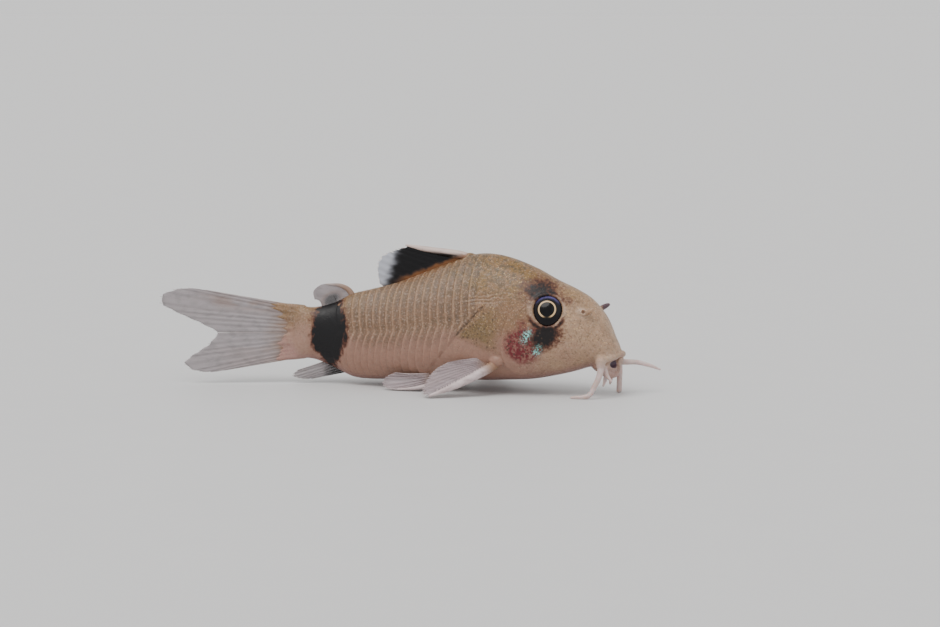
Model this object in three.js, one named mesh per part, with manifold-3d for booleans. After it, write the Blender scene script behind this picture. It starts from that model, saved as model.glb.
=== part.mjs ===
// A corydoras catfish resting on its paired fins and barbels, at life size, in millimetres.
// The head points along +X, the fish's left side faces +Y and the ground is at Z = 0.
// "Behind" is always the distance behind the snout tip, measured along the body's own line.
import * as THREE from "three";
import { mergeVertices } from "three/addons/utils/BufferGeometryUtils.js";
import Module from "manifold-3d";

const wasm = await Module();
wasm.setup();

// Driving dimensions
const STANDARD_LENGTH = 36.4; // snout tip to the root of the tail fin
const GAP = 0.3; // between neighbouring pieces
const GILL_END = 12.0; // where the head meets the trunk
const BEND_START = 25; // the tail curves to the fish's right from here
const BEND_END = STANDARD_LENGTH;
const BEND_ANGLE = THREE.MathUtils.degToRad(23);
const PLATES = 23; // body plates in each row
const PLATES_START = 14.6;
const PLATES_END = 35.7;
const PITCH = (PLATES_END - PLATES_START) / PLATES;
const PLATE_EDGE = 0.03; // a plate starts and ends this far inside its pitch, which slopes the step
const TRUNK_PLATES = 17; // the rest sit on the tail stem
const TRUNK_END = PLATES_START + TRUNK_PLATES * PITCH;
const PLATE_STEP = 0.2; // how far a plate's rear edge stands over the next one
const PLATE_BULGE = 0.4; // how far a plate's rear edge bows backward
const SHOULDER_PLATES = 3; // the first plates of the lower row are one smooth shoulder plate
const COLLAR = [12.9, 13.7]; // smooth rings between the gill and the first plates
const MID_LINE = 14; // section angle where the two rows meet, in degrees
const RAY_RIDGE = 0.14; // how far a fin ray stands over the membrane on each face
const MEMBRANE = 0.5; // thickness of a fin between its rays
const MARGIN = 0.36; // thickness of a fin at its outer edge
const RIDGE_SHARES = [1.6, 0.35]; // a ray's height at its root and at its tip, as shares of RAY_RIDGE

const RIGHT = -1;
const LEFT = 1;
const SIDES = { right: RIGHT, left: LEFT };

// Body stations: behind the snout, back height, belly height, half width,
// share of the depth where the body is widest, roundness of the upper and of the lower half
const STATIONS = [
  [0.0, 4.7, 4.7, 0.0, 0.5, 2.2, 2.2],
  [0.7, 6.4, 3.7, 1.6, 0.45, 2.1, 2.2],
  [1.7, 8.6, 3.3, 2.35, 0.43, 2.0, 2.2],
  [3.25, 10.35, 3.05, 2.95, 0.42, 2.0, 2.2],
  [5.0, 11.35, 2.5, 3.4, 0.42, 2.0, 2.3],
  [7.2, 12.3, 1.95, 3.85, 0.4, 2.0, 2.4],
  [9.6, 13.5, 1.5, 4.35, 0.38, 1.9, 2.5],
  [13.1, 14.65, 1.25, 4.75, 0.37, 1.8, 2.6],
  [16.0, 14.8, 1.12, 4.85, 0.37, 1.75, 2.7],
  [18.5, 14.05, 1.05, 4.8, 0.37, 1.75, 2.7],
  [21.5, 12.9, 0.95, 4.5, 0.38, 1.8, 2.7],
  [25.4, 11.4, 0.75, 3.75, 0.4, 1.85, 2.5],
  [28.9, 10.45, 0.62, 2.85, 0.42, 1.9, 2.4],
  [30.8, 9.95, 0.85, 2.35, 0.44, 2.0, 2.3],
  [32.7, 9.0, 1.75, 1.95, 0.47, 2.1, 2.2],
  [34.9, 8.45, 2.65, 1.5, 0.5, 2.1, 2.1],
  [36.4, 8.55, 2.85, 1.15, 0.5, 2.2, 2.2],
];
const BEHIND = 0;
const BACK = 1;
const BELLY = 2;
const HALF_WIDTH = 3;
const WIDEST = 4;
const UPPER = 5;
const LOWER = 6;

// Section angles from the ridge of the back (90) round one flank to the middle of the belly (-90)
const ANGLES = [90, 85, 76, 66, 55, 44, 33, 22, MID_LINE, 6, -6, -18, -30, -42, -53, -62, -67, -78, -90];
const UPPER_ROW = [85, MID_LINE];
const LOWER_ROW = [MID_LINE, -62];

// Curves and solids

// Smooth value of a station column. It runs over the root of the distance, which rounds the snout.
function station(column, behind) {
  const q = (i) => Math.sqrt(STATIONS[i][BEHIND]);
  const value = (i) => STATIONS[i][column];
  const last = STATIONS.length - 1;
  const at = Math.sqrt(Math.max(0, behind));
  let i = 0;
  while (i < last - 1 && at > q(i + 1)) i++;
  const slope = (k) => {
    const a = Math.max(0, k - 1);
    const b = Math.min(last, k + 1);
    return (value(b) - value(a)) / (q(b) - q(a));
  };
  const span = q(i + 1) - q(i);
  const s = Math.min(1, (at - q(i)) / span);
  const s2 = s * s;
  const s3 = s2 * s;
  return (
    (2 * s3 - 3 * s2 + 1) * value(i) +
    (s3 - 2 * s2 + s) * span * slope(i) +
    (3 * s2 - 2 * s3) * value(i + 1) +
    (s3 - s2) * span * slope(i + 1)
  );
}

// A point given by its distance behind the snout, its side offset and its height, on the bent body line
function place(behind, side, height) {
  const bent = Math.min(Math.max(behind - BEND_START, 0), BEND_END - BEND_START);
  const turn = (BEND_ANGLE * bent) / (BEND_END - BEND_START);
  const radius = (BEND_END - BEND_START) / BEND_ANGLE;
  const straight = Math.max(behind - BEND_END, 0);
  const x = -Math.min(behind, BEND_START) - radius * Math.sin(turn) - straight * Math.cos(turn);
  const y = -radius * (1 - Math.cos(turn)) - straight * Math.sin(turn);
  return new THREE.Vector3(x - side * Math.sin(turn), y + side * Math.cos(turn), height);
}

// Side offset and height of the skin at a section angle, lifted off it by some distance
function skin(behind, angle, lift = 0) {
  const section = (degrees) => {
    const a = THREE.MathUtils.degToRad(degrees);
    const belly = station(BELLY, behind);
    const depth = station(BACK, behind) - belly;
    const widest = belly + depth * station(WIDEST, behind);
    const power = 2 / station(degrees >= 0 ? UPPER : LOWER, behind);
    const reach = degrees >= 0 ? belly + depth - widest : belly - widest;
    const out = station(HALF_WIDTH, behind) * Math.cos(a) ** power;
    return [out, widest + reach * Math.abs(Math.sin(a)) ** power];
  };
  const [out, height] = section(angle);
  if (!lift) return [out, height];
  const a = section(Math.min(89.9, angle + 1));
  const b = section(Math.max(-89.9, angle - 1));
  const along = new THREE.Vector2(a[0] - b[0], a[1] - b[1]).normalize();
  const normal = Math.abs(angle) >= 89.9 ? [0, Math.sign(angle)] : [along.y, -along.x];
  return [Math.max(0, out + lift * normal[0]), height + lift * normal[1]];
}

function skinPoint(behind, angle, side, lift = 0) {
  const [out, height] = skin(behind, angle, lift);
  return place(behind, side * out, height);
}

// A closed surface through rings with the same number of points, with a fan at each end
function loft(rings) {
  const count = rings[0].length;
  const points = rings.flat();
  const middle = (ring) => ring.reduce((sum, p) => sum.add(p), new THREE.Vector3()).divideScalar(count);
  points.push(middle(rings[0]), middle(rings.at(-1)));
  const faces = [];
  for (let r = 0; r < rings.length - 1; r++) {
    for (let k = 0; k < count; k++) {
      const next = (k + 1) % count;
      const [a, b, c, d] = [r * count + k, r * count + next, (r + 1) * count + next, (r + 1) * count + k];
      faces.push([a, b, c], [a, c, d]);
    }
  }
  const end = (rings.length - 1) * count;
  for (let k = 0; k < count; k++) {
    const next = (k + 1) % count;
    faces.push([points.length - 2, next, k], [points.length - 1, end + k, end + next]);
  }
  return solid(points, faces);
}

// A closed solid from points and triangles, turned so that its faces point out
function solid(points, faces) {
  const geometry = new THREE.BufferGeometry().setFromPoints(points);
  geometry.setIndex(faces.flat());
  return toSolid(geometry);
}

function toSolid(geometry) {
  geometry.deleteAttribute("normal");
  geometry.deleteAttribute("uv");
  const merged = mergeVertices(geometry, 1e-4);
  const position = merged.attributes.position;
  const index = merged.index.array;
  const corner = (k) => new THREE.Vector3().fromBufferAttribute(position, k);
  const kept = [];
  let volume = 0;
  for (let i = 0; i < index.length; i += 3) {
    const [a, b, c] = [index[i], index[i + 1], index[i + 2]];
    if (a === b || b === c || c === a) continue;
    volume += corner(a).dot(corner(b).cross(corner(c)));
    kept.push(a, b, c);
  }
  if (volume < 0) kept.reverse();
  return new wasm.Manifold(
    new wasm.Mesh({
      numProp: 3,
      vertProperties: new Float32Array(position.array),
      triVerts: new Uint32Array(kept),
    }),
  );
}

function toGeometry(made) {
  const mesh = made.getMesh();
  const geometry = new THREE.BufferGeometry();
  geometry.setAttribute("position", new THREE.BufferAttribute(new Float32Array(mesh.vertProperties), 3));
  geometry.setIndex(new THREE.BufferAttribute(new Uint32Array(mesh.triVerts), 1));
  return geometry;
}

// A node keeps only its largest closed surface
function largest(made) {
  return made.decompose().reduce((best, piece) => (piece.volume() > best.volume() ? piece : best));
}

const join = (pieces) => pieces.reduce((sum, piece) => sum.add(piece));

// A round rod through points, with its radii shared out evenly along it
function rod(points, radii, sides = 7, steps = 8) {
  const curve = new THREE.CatmullRomCurve3(points);
  const frames = curve.computeFrenetFrames(steps, false);
  const rings = [];
  for (let i = 0; i <= steps; i++) {
    const s = i / steps;
    const part = s * (radii.length - 1);
    const k = Math.min(radii.length - 2, Math.floor(part));
    const radius = THREE.MathUtils.lerp(radii[k], radii[k + 1], part - k);
    const centre = curve.getPoint(s);
    rings.push(
      Array.from({ length: sides }, (_, j) => {
        const a = (2 * Math.PI * (j + 0.5)) / sides;
        return centre
          .clone()
          .addScaledVector(frames.normals[i], radius * Math.cos(a))
          .addScaledVector(frames.binormals[i], radius * Math.sin(a));
      }),
    );
  }
  return loft(rings);
}

// An ellipsoid with its own axes
function ellipsoid(centre, radii, widthSegments = 14, heightSegments = 10, turn = null) {
  const geometry = new THREE.SphereGeometry(1, widthSegments, heightSegments);
  geometry.scale(...radii);
  if (turn) geometry.applyQuaternion(turn);
  geometry.translate(centre.x, centre.y, centre.z);
  return toSolid(geometry);
}

// The body

// How far round its row a section angle lies, from 0 at the upper edge to 1 at the lower, or null
function withinRow(row, angle) {
  const share = (row[0] - angle) / (row[0] - row[1]);
  return share >= 0 && share <= 1 ? share : null;
}

// Backward bow of the plates' rear edges
function bow(angle) {
  const share = withinRow(UPPER_ROW, angle) ?? withinRow(LOWER_ROW, angle) ?? 0;
  return PLATE_BULGE * 4 * share * (1 - share);
}

// Height of plate number i at a section angle, at its front (rise 0) or rear edge (rise 1)
function plateLift(i, angle, rise) {
  const upper = withinRow(UPPER_ROW, angle);
  const lower = withinRow(LOWER_ROW, angle);
  const share = upper !== null && upper < 1 ? upper : lower;
  if (share === null || (upper === null && lower === null)) return 0;
  const edge = Math.min(1, 7 * Math.min(share, 1 - share));
  const onShoulder = share === lower && i < SHOULDER_PLATES;
  return PLATE_STEP * edge * (onShoulder ? 1 : rise);
}

// The ring of skin points at a distance behind the snout, right flank down and left flank up
function ring(behindAt, liftAt = () => 0) {
  const down = ANGLES.map((angle) => skinPoint(behindAt(angle), angle, RIGHT, liftAt(angle)));
  const up = ANGLES.slice(1, -1)
    .reverse()
    .map((angle) => skinPoint(behindAt(angle), angle, LEFT, liftAt(angle)));
  return [...down, ...up];
}

const plain = (behind, lift = 0) => ring(() => behind, () => lift);

// The two rings of plate number i: its front, just under the one before, and its raised rear edge
function plateRings(i, from, to) {
  const start = PLATES_START + i * PITCH;
  const front = from ?? start + PLATE_EDGE;
  const rear = to ?? start + PITCH - PLATE_EDGE;
  return [
    ring((angle) => front + bow(angle), (angle) => plateLift(i, angle, 0)),
    ring((angle) => rear + bow(angle), (angle) => plateLift(i, angle, 1)),
  ];
}

// The bony knob on the ridge of the back, just ahead of the dorsal spine
const KNOB = { behind: 17.1, height: 14.4, radii: [0.75, 0.42, 0.45] };

function knob(lift) {
  return ellipsoid(place(KNOB.behind, 0, KNOB.height), KNOB.radii.map((radius) => radius + lift), 10, 6);
}

// The bare body, let out all round, that cuts what grows from it
function bodyForm(lift) {
  const steps = 34;
  const rings = [];
  for (let i = 0; i <= steps; i++) {
    const behind = 0.01 + STANDARD_LENGTH * (i / steps) ** 1.4;
    rings.push(plain(Math.min(behind, STANDARD_LENGTH), lift));
  }
  return loft(rings);
}

// The face

const MOUTH_CORNER = { radius: 0.6, right: [1.45, -2.3, 3.95], left: [1.0, 2.3, 3.95] };
const UPPER_LIP = { radius: 0.36, path: [[0.7, -1.35, 4.25], [0.15, 0, 4.5], [0.15, 1.3, 4.4]] };
const LOWER_LIP = {
  radius: 0.34,
  path: [[1.35, -1.75, 2.75], [0.85, -0.6, 2.3], [0.65, 0.7, 2.35], [0.85, 1.75, 2.8]],
};
const JAW = { behind: 1.75, height: 3.3, length: 1.35, out: 1.75, depth: 0.85 };
const MOUTH_SLIT = { behind: 0.2, height: 3.45, length: 0.95, out: 1.5, depth: 0.5 };
const EYE = { behind: 7.1, angle: 31, radius: 1.72, depth: 1.1, sunk: 0.5 };
const NOSTRIL = {
  behind: 3.45,
  angle: 42,
  radius: 0.46,
  pit: 0.24,
  rise: 0.28,
  sunk: 0.5,
  flap: [0.26, 0.42, 0.9],
  lean: 0.5,
};
const GILL_COVER = { behind: 9.35, angle: -9, length: 2.5, angles: 40, rise: 0.3 };

// A lip runs from the right corner of the mouth to the left one
function lip({ radius, path }, thickened) {
  const points = [MOUTH_CORNER.right, ...path, MOUTH_CORNER.left].map((point) => place(...point));
  return rod(points, [radius + thickened, radius + thickened], 7, 13);
}

function mouthForms(lift) {
  const bulb = (corner) => ellipsoid(place(...corner), Array(3).fill(MOUTH_CORNER.radius + lift), 10, 7);
  const jawRadii = [JAW.length, JAW.out, JAW.depth].map((radius) => radius + lift);
  const jaw = ellipsoid(place(JAW.behind, 0, JAW.height), jawRadii, 14, 8);
  const corners = [bulb(MOUTH_CORNER.right), bulb(MOUTH_CORNER.left)];
  return join([...corners, jaw, lip(UPPER_LIP, lift), lip(LOWER_LIP, lift)]);
}

// The outward direction of the skin on one side
function outward(behind, angle, side) {
  const d = 0.2;
  const here = skinPoint(behind, angle, side);
  const back = skinPoint(behind + d, angle, side).sub(here);
  const up = skinPoint(behind, angle + 3, side).sub(here);
  const normal = back.cross(up).normalize();
  return normal.y * side < 0 ? normal.negate() : normal;
}

function facing(direction) {
  return new THREE.Quaternion().setFromUnitVectors(new THREE.Vector3(0, 0, 1), direction);
}

function eyeForm(side, letOut = 0) {
  const normal = outward(EYE.behind, EYE.angle, side);
  const centre = skinPoint(EYE.behind, EYE.angle, side).addScaledVector(normal, -EYE.sunk);
  const radii = [EYE.radius + letOut, EYE.radius + letOut, EYE.depth + letOut];
  return ellipsoid(centre, radii, 16, 10, facing(normal));
}

// A low round wall with a pit in it, and the small flap that leans forward ahead of it
function nostril(side) {
  const normal = outward(NOSTRIL.behind, NOSTRIL.angle, side);
  const { radius, pit, rise, sunk, flap, lean } = NOSTRIL;
  const profile = [
    [0, -sunk],
    [radius * 1.1, -sunk],
    [radius, rise],
    [pit, rise],
    [pit * 0.7, 0],
    [0, 0],
  ].map(([x, y]) => new THREE.Vector2(x, y));
  const wall = new THREE.LatheGeometry(profile, 8);
  wall.rotateX(Math.PI / 2);
  wall.applyQuaternion(facing(normal));
  const at = skinPoint(NOSTRIL.behind, NOSTRIL.angle, side);
  wall.translate(at.x, at.y, at.z);
  const forward = new THREE.Vector3(1, 0, 0);
  const leaning = normal.clone().addScaledVector(forward, lean).normalize();
  const ahead = at.clone().addScaledVector(forward, radius).addScaledVector(leaning, flap[2] * 0.35);
  return join([toSolid(wall), ellipsoid(ahead, flap, 8, 6, facing(leaning))]);
}

// The gill cover: a shield on the cheek that follows the skin and stands proud at its rear edge
function gillCover(side) {
  const { behind, angle, length, angles, rise } = GILL_COVER;
  const spokes = 16;
  const shares = [0.5, 0.9, 1];
  const lifts = [rise, rise * 0.8, rise * 0.25];
  const sunk = -0.6;
  const at = (share, spoke, lift) => {
    const a = (2 * Math.PI * spoke) / spokes;
    return skinPoint(behind + length * share * Math.cos(a), angle + angles * share * Math.sin(a), side, lift);
  };
  const ringOf = (share, lift) => Array.from({ length: spokes }, (_, spoke) => at(share, spoke, lift));
  const outer = shares.map((share, i) => ringOf(share, lifts[i]));
  const inner = shares.toReversed().map((share) => ringOf(share * 0.98, sunk));
  return loft([...outer, ...inner]);
}

function head() {
  const steps = 15;
  const rings = [];
  for (let i = 0; i <= steps; i++) {
    rings.push(plain(GILL_END * Math.max(0.002, i / steps) ** 1.75));
  }
  const forms = [loft(rings), mouthForms(0)];
  for (const side of Object.values(SIDES)) forms.push(nostril(side), gillCover(side));
  const slit = ellipsoid(
    place(MOUTH_SLIT.behind, 0, MOUTH_SLIT.height),
    [MOUTH_SLIT.length, MOUTH_SLIT.out, MOUTH_SLIT.depth],
    14,
    8,
  );
  return join(forms).subtract(slit).subtract(eyeForm(RIGHT, GAP)).subtract(eyeForm(LEFT, GAP));
}

function trunk() {
  const rings = [plain(GILL_END + GAP), ...COLLAR.map((behind) => plain(behind))];
  for (let i = 0; i < TRUNK_PLATES; i++) {
    const end = i === TRUNK_PLATES - 1 ? TRUNK_END - GAP / 2 : undefined;
    rings.push(...plateRings(i, undefined, end));
  }
  return loft(rings).add(knob(0));
}

function tailStem() {
  const rings = [];
  for (let i = TRUNK_PLATES; i < PLATES; i++) {
    const start = i === TRUNK_PLATES ? TRUNK_END + GAP / 2 : undefined;
    rings.push(...plateRings(i, start, undefined));
  }
  rings.push(plain(PLATES_END + PLATE_BULGE + PLATE_EDGE), plain(STANDARD_LENGTH));
  return loft(rings);
}

// Fins

// Fins on the middle line: their roots run along an edge of the body, a little inside it, and their
// outlines are the tips of the rays, as distance behind the snout and height
const DORSAL = {
  rays: 8,
  edge: BACK,
  inside: -0.4,
  from: 17.3,
  to: 26.7,
  outline: [[24.5, 15.35], [26.2, 14.75], [27.5, 14.1], [27.95, 12.9], [27.7, 11.2]],
  spine: {
    path: [[17.1, 14.0], [18.0, 14.5], [21.1, 14.85], [24.6, 15.4]],
    radii: [0.5, 0.52, 0.42, 0.2],
    steps: 8,
  },
};
const ADIPOSE = {
  rays: 5,
  rows: 4,
  edge: BACK,
  inside: -0.4,
  from: 30.9,
  to: 34.2,
  outline: [[32.8, 11.0], [34.3, 10.9], [35.1, 10.2], [35.0, 9.3]],
  spine: { path: [[30.7, 9.6], [31.3, 10.5], [33.1, 11.05]], radii: [0.42, 0.38, 0.2], steps: 5 },
};
const ANAL = {
  rays: 7,
  edge: BELLY,
  inside: 0.45,
  from: 31.1,
  to: 33.4,
  outline: [[35.4, 0.45], [36.6, 0.5], [37.5, 0.85], [36.9, 1.45]],
};
const CAUDAL = {
  rays: 8,
  rows: 6,
  notch: 0.03,
  fork: { behind: 45.7, height: 5.65 },
  upper: {
    edge: 8.45,
    outline: [[46.8, 10.35], [49, 10.6], [51, 10.3], [52.1, 9.5], [51.8, 8.8], [50.3, 7.95], [47.7, 6.75]],
  },
  lower: {
    edge: 2.95,
    outline: [[44.9, 1.45], [46.7, 1.25], [48.5, 1.5], [49.4, 2.2], [48.9, 2.9], [47.8, 3.6], [46.7, 4.4]],
  },
};

// Paired fins, as distance behind the snout, offset to the side and height; they mirror to the left
const PECTORAL = {
  rays: 8,
  roots: [[12.75, 3.6, 3.25], [13.2, 3.7, 3.6], [13.6, 3.75, 3.95]],
  outline: [[18.7, 9.2, 0.1], [19.3, 8.6, 0.55], [19.3, 7.4, 1.7], [18.6, 6.5, 2.8], [17.5, 5.9, 3.5]],
  sag: [0, 0.12],
  spine: {
    path: [[12.6, 3.5, 3.35], [13.4, 5.0, 2.75], [15.9, 7.2, 1.25], [18.3, 9.0, 0.1]],
    radii: [0.62, 0.58, 0.52, 0.3],
    steps: 8,
  },
};
const PELVIC = {
  rays: 7,
  roots: [[19.2, 3.1, 1.35], [19.7, 3.2, 1.6], [20.2, 3.3, 1.95]],
  outline: [[23.6, 4.75, 0.05], [25.0, 4.65, 0.2], [25.8, 4.3, 0.75], [25.4, 4.15, 1.4], [24.2, 4.25, 1.95]],
  sag: [0.18, -0.12],
  spine: {
    path: [[19.1, 3.0, 1.3], [21.2, 4.25, 0.45], [23.7, 4.75, 0.12]],
    radii: [0.42, 0.36, 0.22],
    steps: 6,
  },
};

// A fin from its rays, each a root and a tip. Every ray is a ridge on both faces,
// and the membrane between two rays is a hollow that ends a little short of their tips.
function finSheet(rays, { rows = 5, notch = 0.05, sag = new THREE.Vector3() } = {}) {
  const columns = [];
  rays.forEach((ray, i) => {
    if (i > 0) {
      const before = rays[i - 1];
      const root = before[0].clone().lerp(ray[0], 0.5);
      const tip = before[1].clone().lerp(ray[1], 0.5).lerp(root, notch);
      columns.push({ root, tip, ridge: 0 });
    }
    columns.push({ root: ray[0], tip: ray[1], ridge: 1 });
  });
  const middle = columns.map(({ root, tip }) =>
    Array.from({ length: rows + 1 }, (_, r) => {
      const s = r / rows;
      return root.clone().lerp(tip, s).addScaledVector(sag, 4 * s * (1 - s));
    }),
  );
  const face = (sign) =>
    columns.map(({ ridge }, c) =>
      middle[c].map((point, r) => {
        const s = r / rows;
        const a = middle[Math.max(0, c - 1)][r];
        const b = middle[Math.min(columns.length - 1, c + 1)][r];
        const across = b.clone().sub(a);
        const along = middle[c][rows].clone().sub(middle[c][0]);
        const normal = across.cross(along).normalize();
        const web = THREE.MathUtils.lerp(MEMBRANE, MARGIN, s ** 3);
        const ray = ridge * RAY_RIDGE * THREE.MathUtils.lerp(...RIDGE_SHARES, s);
        return point.clone().addScaledVector(normal, sign * (web / 2 + ray));
      }),
    );
  // One ring a row: along one face and back along the other
  const [front, behind] = [face(1), face(-1)];
  const rings = [];
  for (let r = 0; r <= rows; r++) {
    rings.push([...front.map((column) => column[r]), ...behind.map((column) => column[r]).reverse()]);
  }
  return strip(rings, columns.length);
}

// The closed skin of a sheet: both faces are split alike and the two ends are ladders of triangles
function strip(rings, width) {
  const count = 2 * width;
  const faces = [];
  const at = (r, k) => r * count + (k % count);
  for (let r = 0; r < rings.length - 1; r++) {
    for (let k = 0; k < count; k++) {
      const [a, b, c, d] = [at(r, k), at(r, k + 1), at(r + 1, k + 1), at(r + 1, k)];
      if (k < width) faces.push([a, b, c], [a, c, d]);
      else faces.push([a, b, d], [b, c, d]);
    }
  }
  const ladder = (r, flip) => {
    for (let k = 0; k < width - 1; k++) {
      const [a, b] = [at(r, k), at(r, k + 1)];
      const [c, d] = [at(r, count - 2 - k), at(r, count - 1 - k)];
      const two = [
        [a, c, b],
        [a, d, c],
      ];
      faces.push(...(flip ? two.map((f) => [f[0], f[2], f[1]]) : two));
    }
  };
  ladder(0, false);
  ladder(rings.length - 1, true);
  return solid(rings.flat(), faces);
}

// Points shared out evenly by length along a smooth line
function spread(points, count) {
  return new THREE.CatmullRomCurve3(points, false, "catmullrom", 0.5).getSpacedPoints(count - 1);
}

const raysOf = (roots, tips) => roots.map((root, i) => [root, tips[i]]);

function finSpine({ path, radii, steps }, at) {
  return rod(path.map(at), radii, 7, steps);
}

const onMiddle = ([behind, height]) => place(behind, 0, height);

function medianFin({ rays, rows, edge, inside, from, to, outline, spine }) {
  const roots = Array.from({ length: rays }, (_, i) => {
    const behind = THREE.MathUtils.lerp(from, to, i / (rays - 1));
    return place(behind, 0, station(edge, behind) + inside);
  });
  const sheet = finSheet(raysOf(roots, spread(outline.map(onMiddle), rays)), { rows });
  const whole = spine ? sheet.add(finSpine(spine, onMiddle)) : sheet;
  return whole.subtract(skinCutter);
}

// A lobe of the tail fin, from its outer edge to the fork
function caudalLobe({ edge, outline }) {
  const { rays, rows, notch, fork } = CAUDAL;
  const half = (Math.sign(edge - fork.height) * GAP) / 2;
  const roots = Array.from({ length: rays }, (_, i) =>
    place(STANDARD_LENGTH + GAP, 0, THREE.MathUtils.lerp(edge, fork.height + half, i / (rays - 1))),
  );
  const tips = [...outline, [fork.behind, fork.height + half]].map(onMiddle);
  return finSheet(raysOf(roots, spread(tips, rays)), { rows, notch });
}

function pairedFin({ rays, roots, outline, sag, spine }, side) {
  const at = ([behind, out, height]) => place(behind, side * out, height);
  const bow = new THREE.Vector3(0, side * sag[0], sag[1]);
  const sheet = finSheet(raysOf(spread(roots.map(at), rays), spread(outline.map(at), rays)), { sag: bow });
  return sheet.add(finSpine(spine, at)).subtract(skinCutter).subtract(underground);
}

// Barbels

const BARBELS = {
  barbel_rear_right: {
    path: [[1.4, -2.4, 4.0], [1.4, -2.7, 2.6], [1.8, -3.1, 1.45], [2.45, -3.5, 0.35], [4.25, -3.8, 0.12]],
    radii: [0.4, 0.33, 0.28, 0.27, 0.2],
  },
  barbel_front_right: {
    path: [[1.2, -1.85, 3.3], [0.9, -1.8, 2.4], [0.4, -1.75, 1.75]],
    radii: [0.28, 0.26, 0.18],
  },
  barbel_rear_left: {
    path: [[1.0, 2.5, 4.0], [0.95, 2.75, 2.5], [1.0, 2.9, 1.2], [1.05, 2.95, -0.15]],
    radii: [0.4, 0.34, 0.31, 0.33],
  },
  barbel_front_left: {
    path: [[1.0, 2.1, 3.6], [0.4, 2.4, 3.4], [-0.9, 3.0, 3.35], [-2.2, 3.7, 2.95], [-3.15, 4.3, 2.5]],
    radii: [0.34, 0.32, 0.28, 0.24, 0.16],
  },
  barbel_chin_right: {
    path: [[1.3, -0.8, 2.4], [1.4, -0.9, 1.75], [1.55, -1.05, 1.15]],
    radii: [0.27, 0.26, 0.18],
  },
  barbel_chin_left: {
    path: [[1.2, 0.75, 2.4], [1.3, 0.85, 1.75], [1.45, 1.0, 1.15]],
    radii: [0.27, 0.26, 0.18],
  },
};

function barbel({ path, radii }) {
  const made = rod(path.map((point) => place(...point)), radii, 7, 9);
  return made.subtract(skinCutter).subtract(mouthCutter).subtract(underground);
}

const skinCutter = bodyForm(GAP + PLATE_STEP / 2).add(knob(GAP));
const mouthCutter = mouthForms(GAP);
const GROUND_BLOCK = [120, 120, 10];
const underground = toSolid(new THREE.BoxGeometry(...GROUND_BLOCK).translate(0, 0, -GROUND_BLOCK[2] / 2));

// Colours and assembly

const skinTone = new THREE.MeshStandardMaterial({ color: 0xb39a80, roughness: 0.45 });
const finTone = new THREE.MeshStandardMaterial({ color: 0xbdb2ac, roughness: 0.5 });
const darkFinTone = new THREE.MeshStandardMaterial({ color: 0x1c1a1f, roughness: 0.5 });
const barbelTone = new THREE.MeshStandardMaterial({ color: 0xc9b4aa, roughness: 0.45 });
const eyeTone = new THREE.MeshStandardMaterial({ color: 0x0c0c12, roughness: 0.1 });

const fish = new THREE.Group();
function add(name, made, material) {
  const mesh = new THREE.Mesh(toGeometry(largest(made)), material);
  mesh.name = name;
  fish.add(mesh);
}

add("head", head(), skinTone);
add("trunk", trunk(), skinTone);
add("tail_stem", tailStem(), skinTone);
add("dorsal_fin", medianFin(DORSAL), darkFinTone);
add("adipose_fin", medianFin(ADIPOSE), finTone);
add("anal_fin", medianFin(ANAL), finTone);
add("caudal_fin_upper", caudalLobe(CAUDAL.upper), finTone);
add("caudal_fin_lower", caudalLobe(CAUDAL.lower), finTone);
for (const [name, side] of Object.entries(SIDES)) {
  add(`eye_${name}`, eyeForm(side), eyeTone);
  add(`pectoral_fin_${name}`, pairedFin(PECTORAL, side), finTone);
  add(`pelvic_fin_${name}`, pairedFin(PELVIC, side), finTone);
}
for (const [name, shape] of Object.entries(BARBELS)) add(name, barbel(shape), barbelTone);

// The frame's origin is the middle of the fish's box, on the ground
const box = new THREE.Box3().setFromObject(fish);
const centre = box.getCenter(new THREE.Vector3());
fish.position.set(-centre.x, -centre.y, -box.min.z);

export default fish;
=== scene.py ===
"""The looks of a corydoras catfish that rests on its paired fins and barbels.

One skin replaces the solids of the head, trunk and tail stem. Fins, barbels and eyes are finer
pieces in the places of their own solids. Shapes are worked out in the fish's own millimetres:
"behind" is the distance behind the snout tip along the body, "side" is positive to the fish's
left and height is above the ground.
"""

import math
from types import SimpleNamespace

import bpy
import numpy as np
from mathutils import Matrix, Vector


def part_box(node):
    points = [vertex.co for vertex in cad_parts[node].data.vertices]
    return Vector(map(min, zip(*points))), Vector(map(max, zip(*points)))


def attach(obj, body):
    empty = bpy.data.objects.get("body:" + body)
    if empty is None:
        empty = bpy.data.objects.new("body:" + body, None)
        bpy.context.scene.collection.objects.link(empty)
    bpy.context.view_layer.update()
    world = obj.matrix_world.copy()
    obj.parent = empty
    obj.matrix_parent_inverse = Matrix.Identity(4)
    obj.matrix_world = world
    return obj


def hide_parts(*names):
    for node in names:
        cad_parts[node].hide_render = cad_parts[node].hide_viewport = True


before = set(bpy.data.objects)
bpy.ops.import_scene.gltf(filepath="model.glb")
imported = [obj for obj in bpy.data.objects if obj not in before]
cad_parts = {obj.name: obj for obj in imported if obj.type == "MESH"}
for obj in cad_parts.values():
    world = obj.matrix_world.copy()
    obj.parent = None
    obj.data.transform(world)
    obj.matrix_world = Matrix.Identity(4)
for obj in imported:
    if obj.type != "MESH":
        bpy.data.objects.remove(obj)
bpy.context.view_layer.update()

MM = 0.001
RIGHT, LEFT = -1, 1
SIDES = {"right": RIGHT, "left": LEFT}

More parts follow.
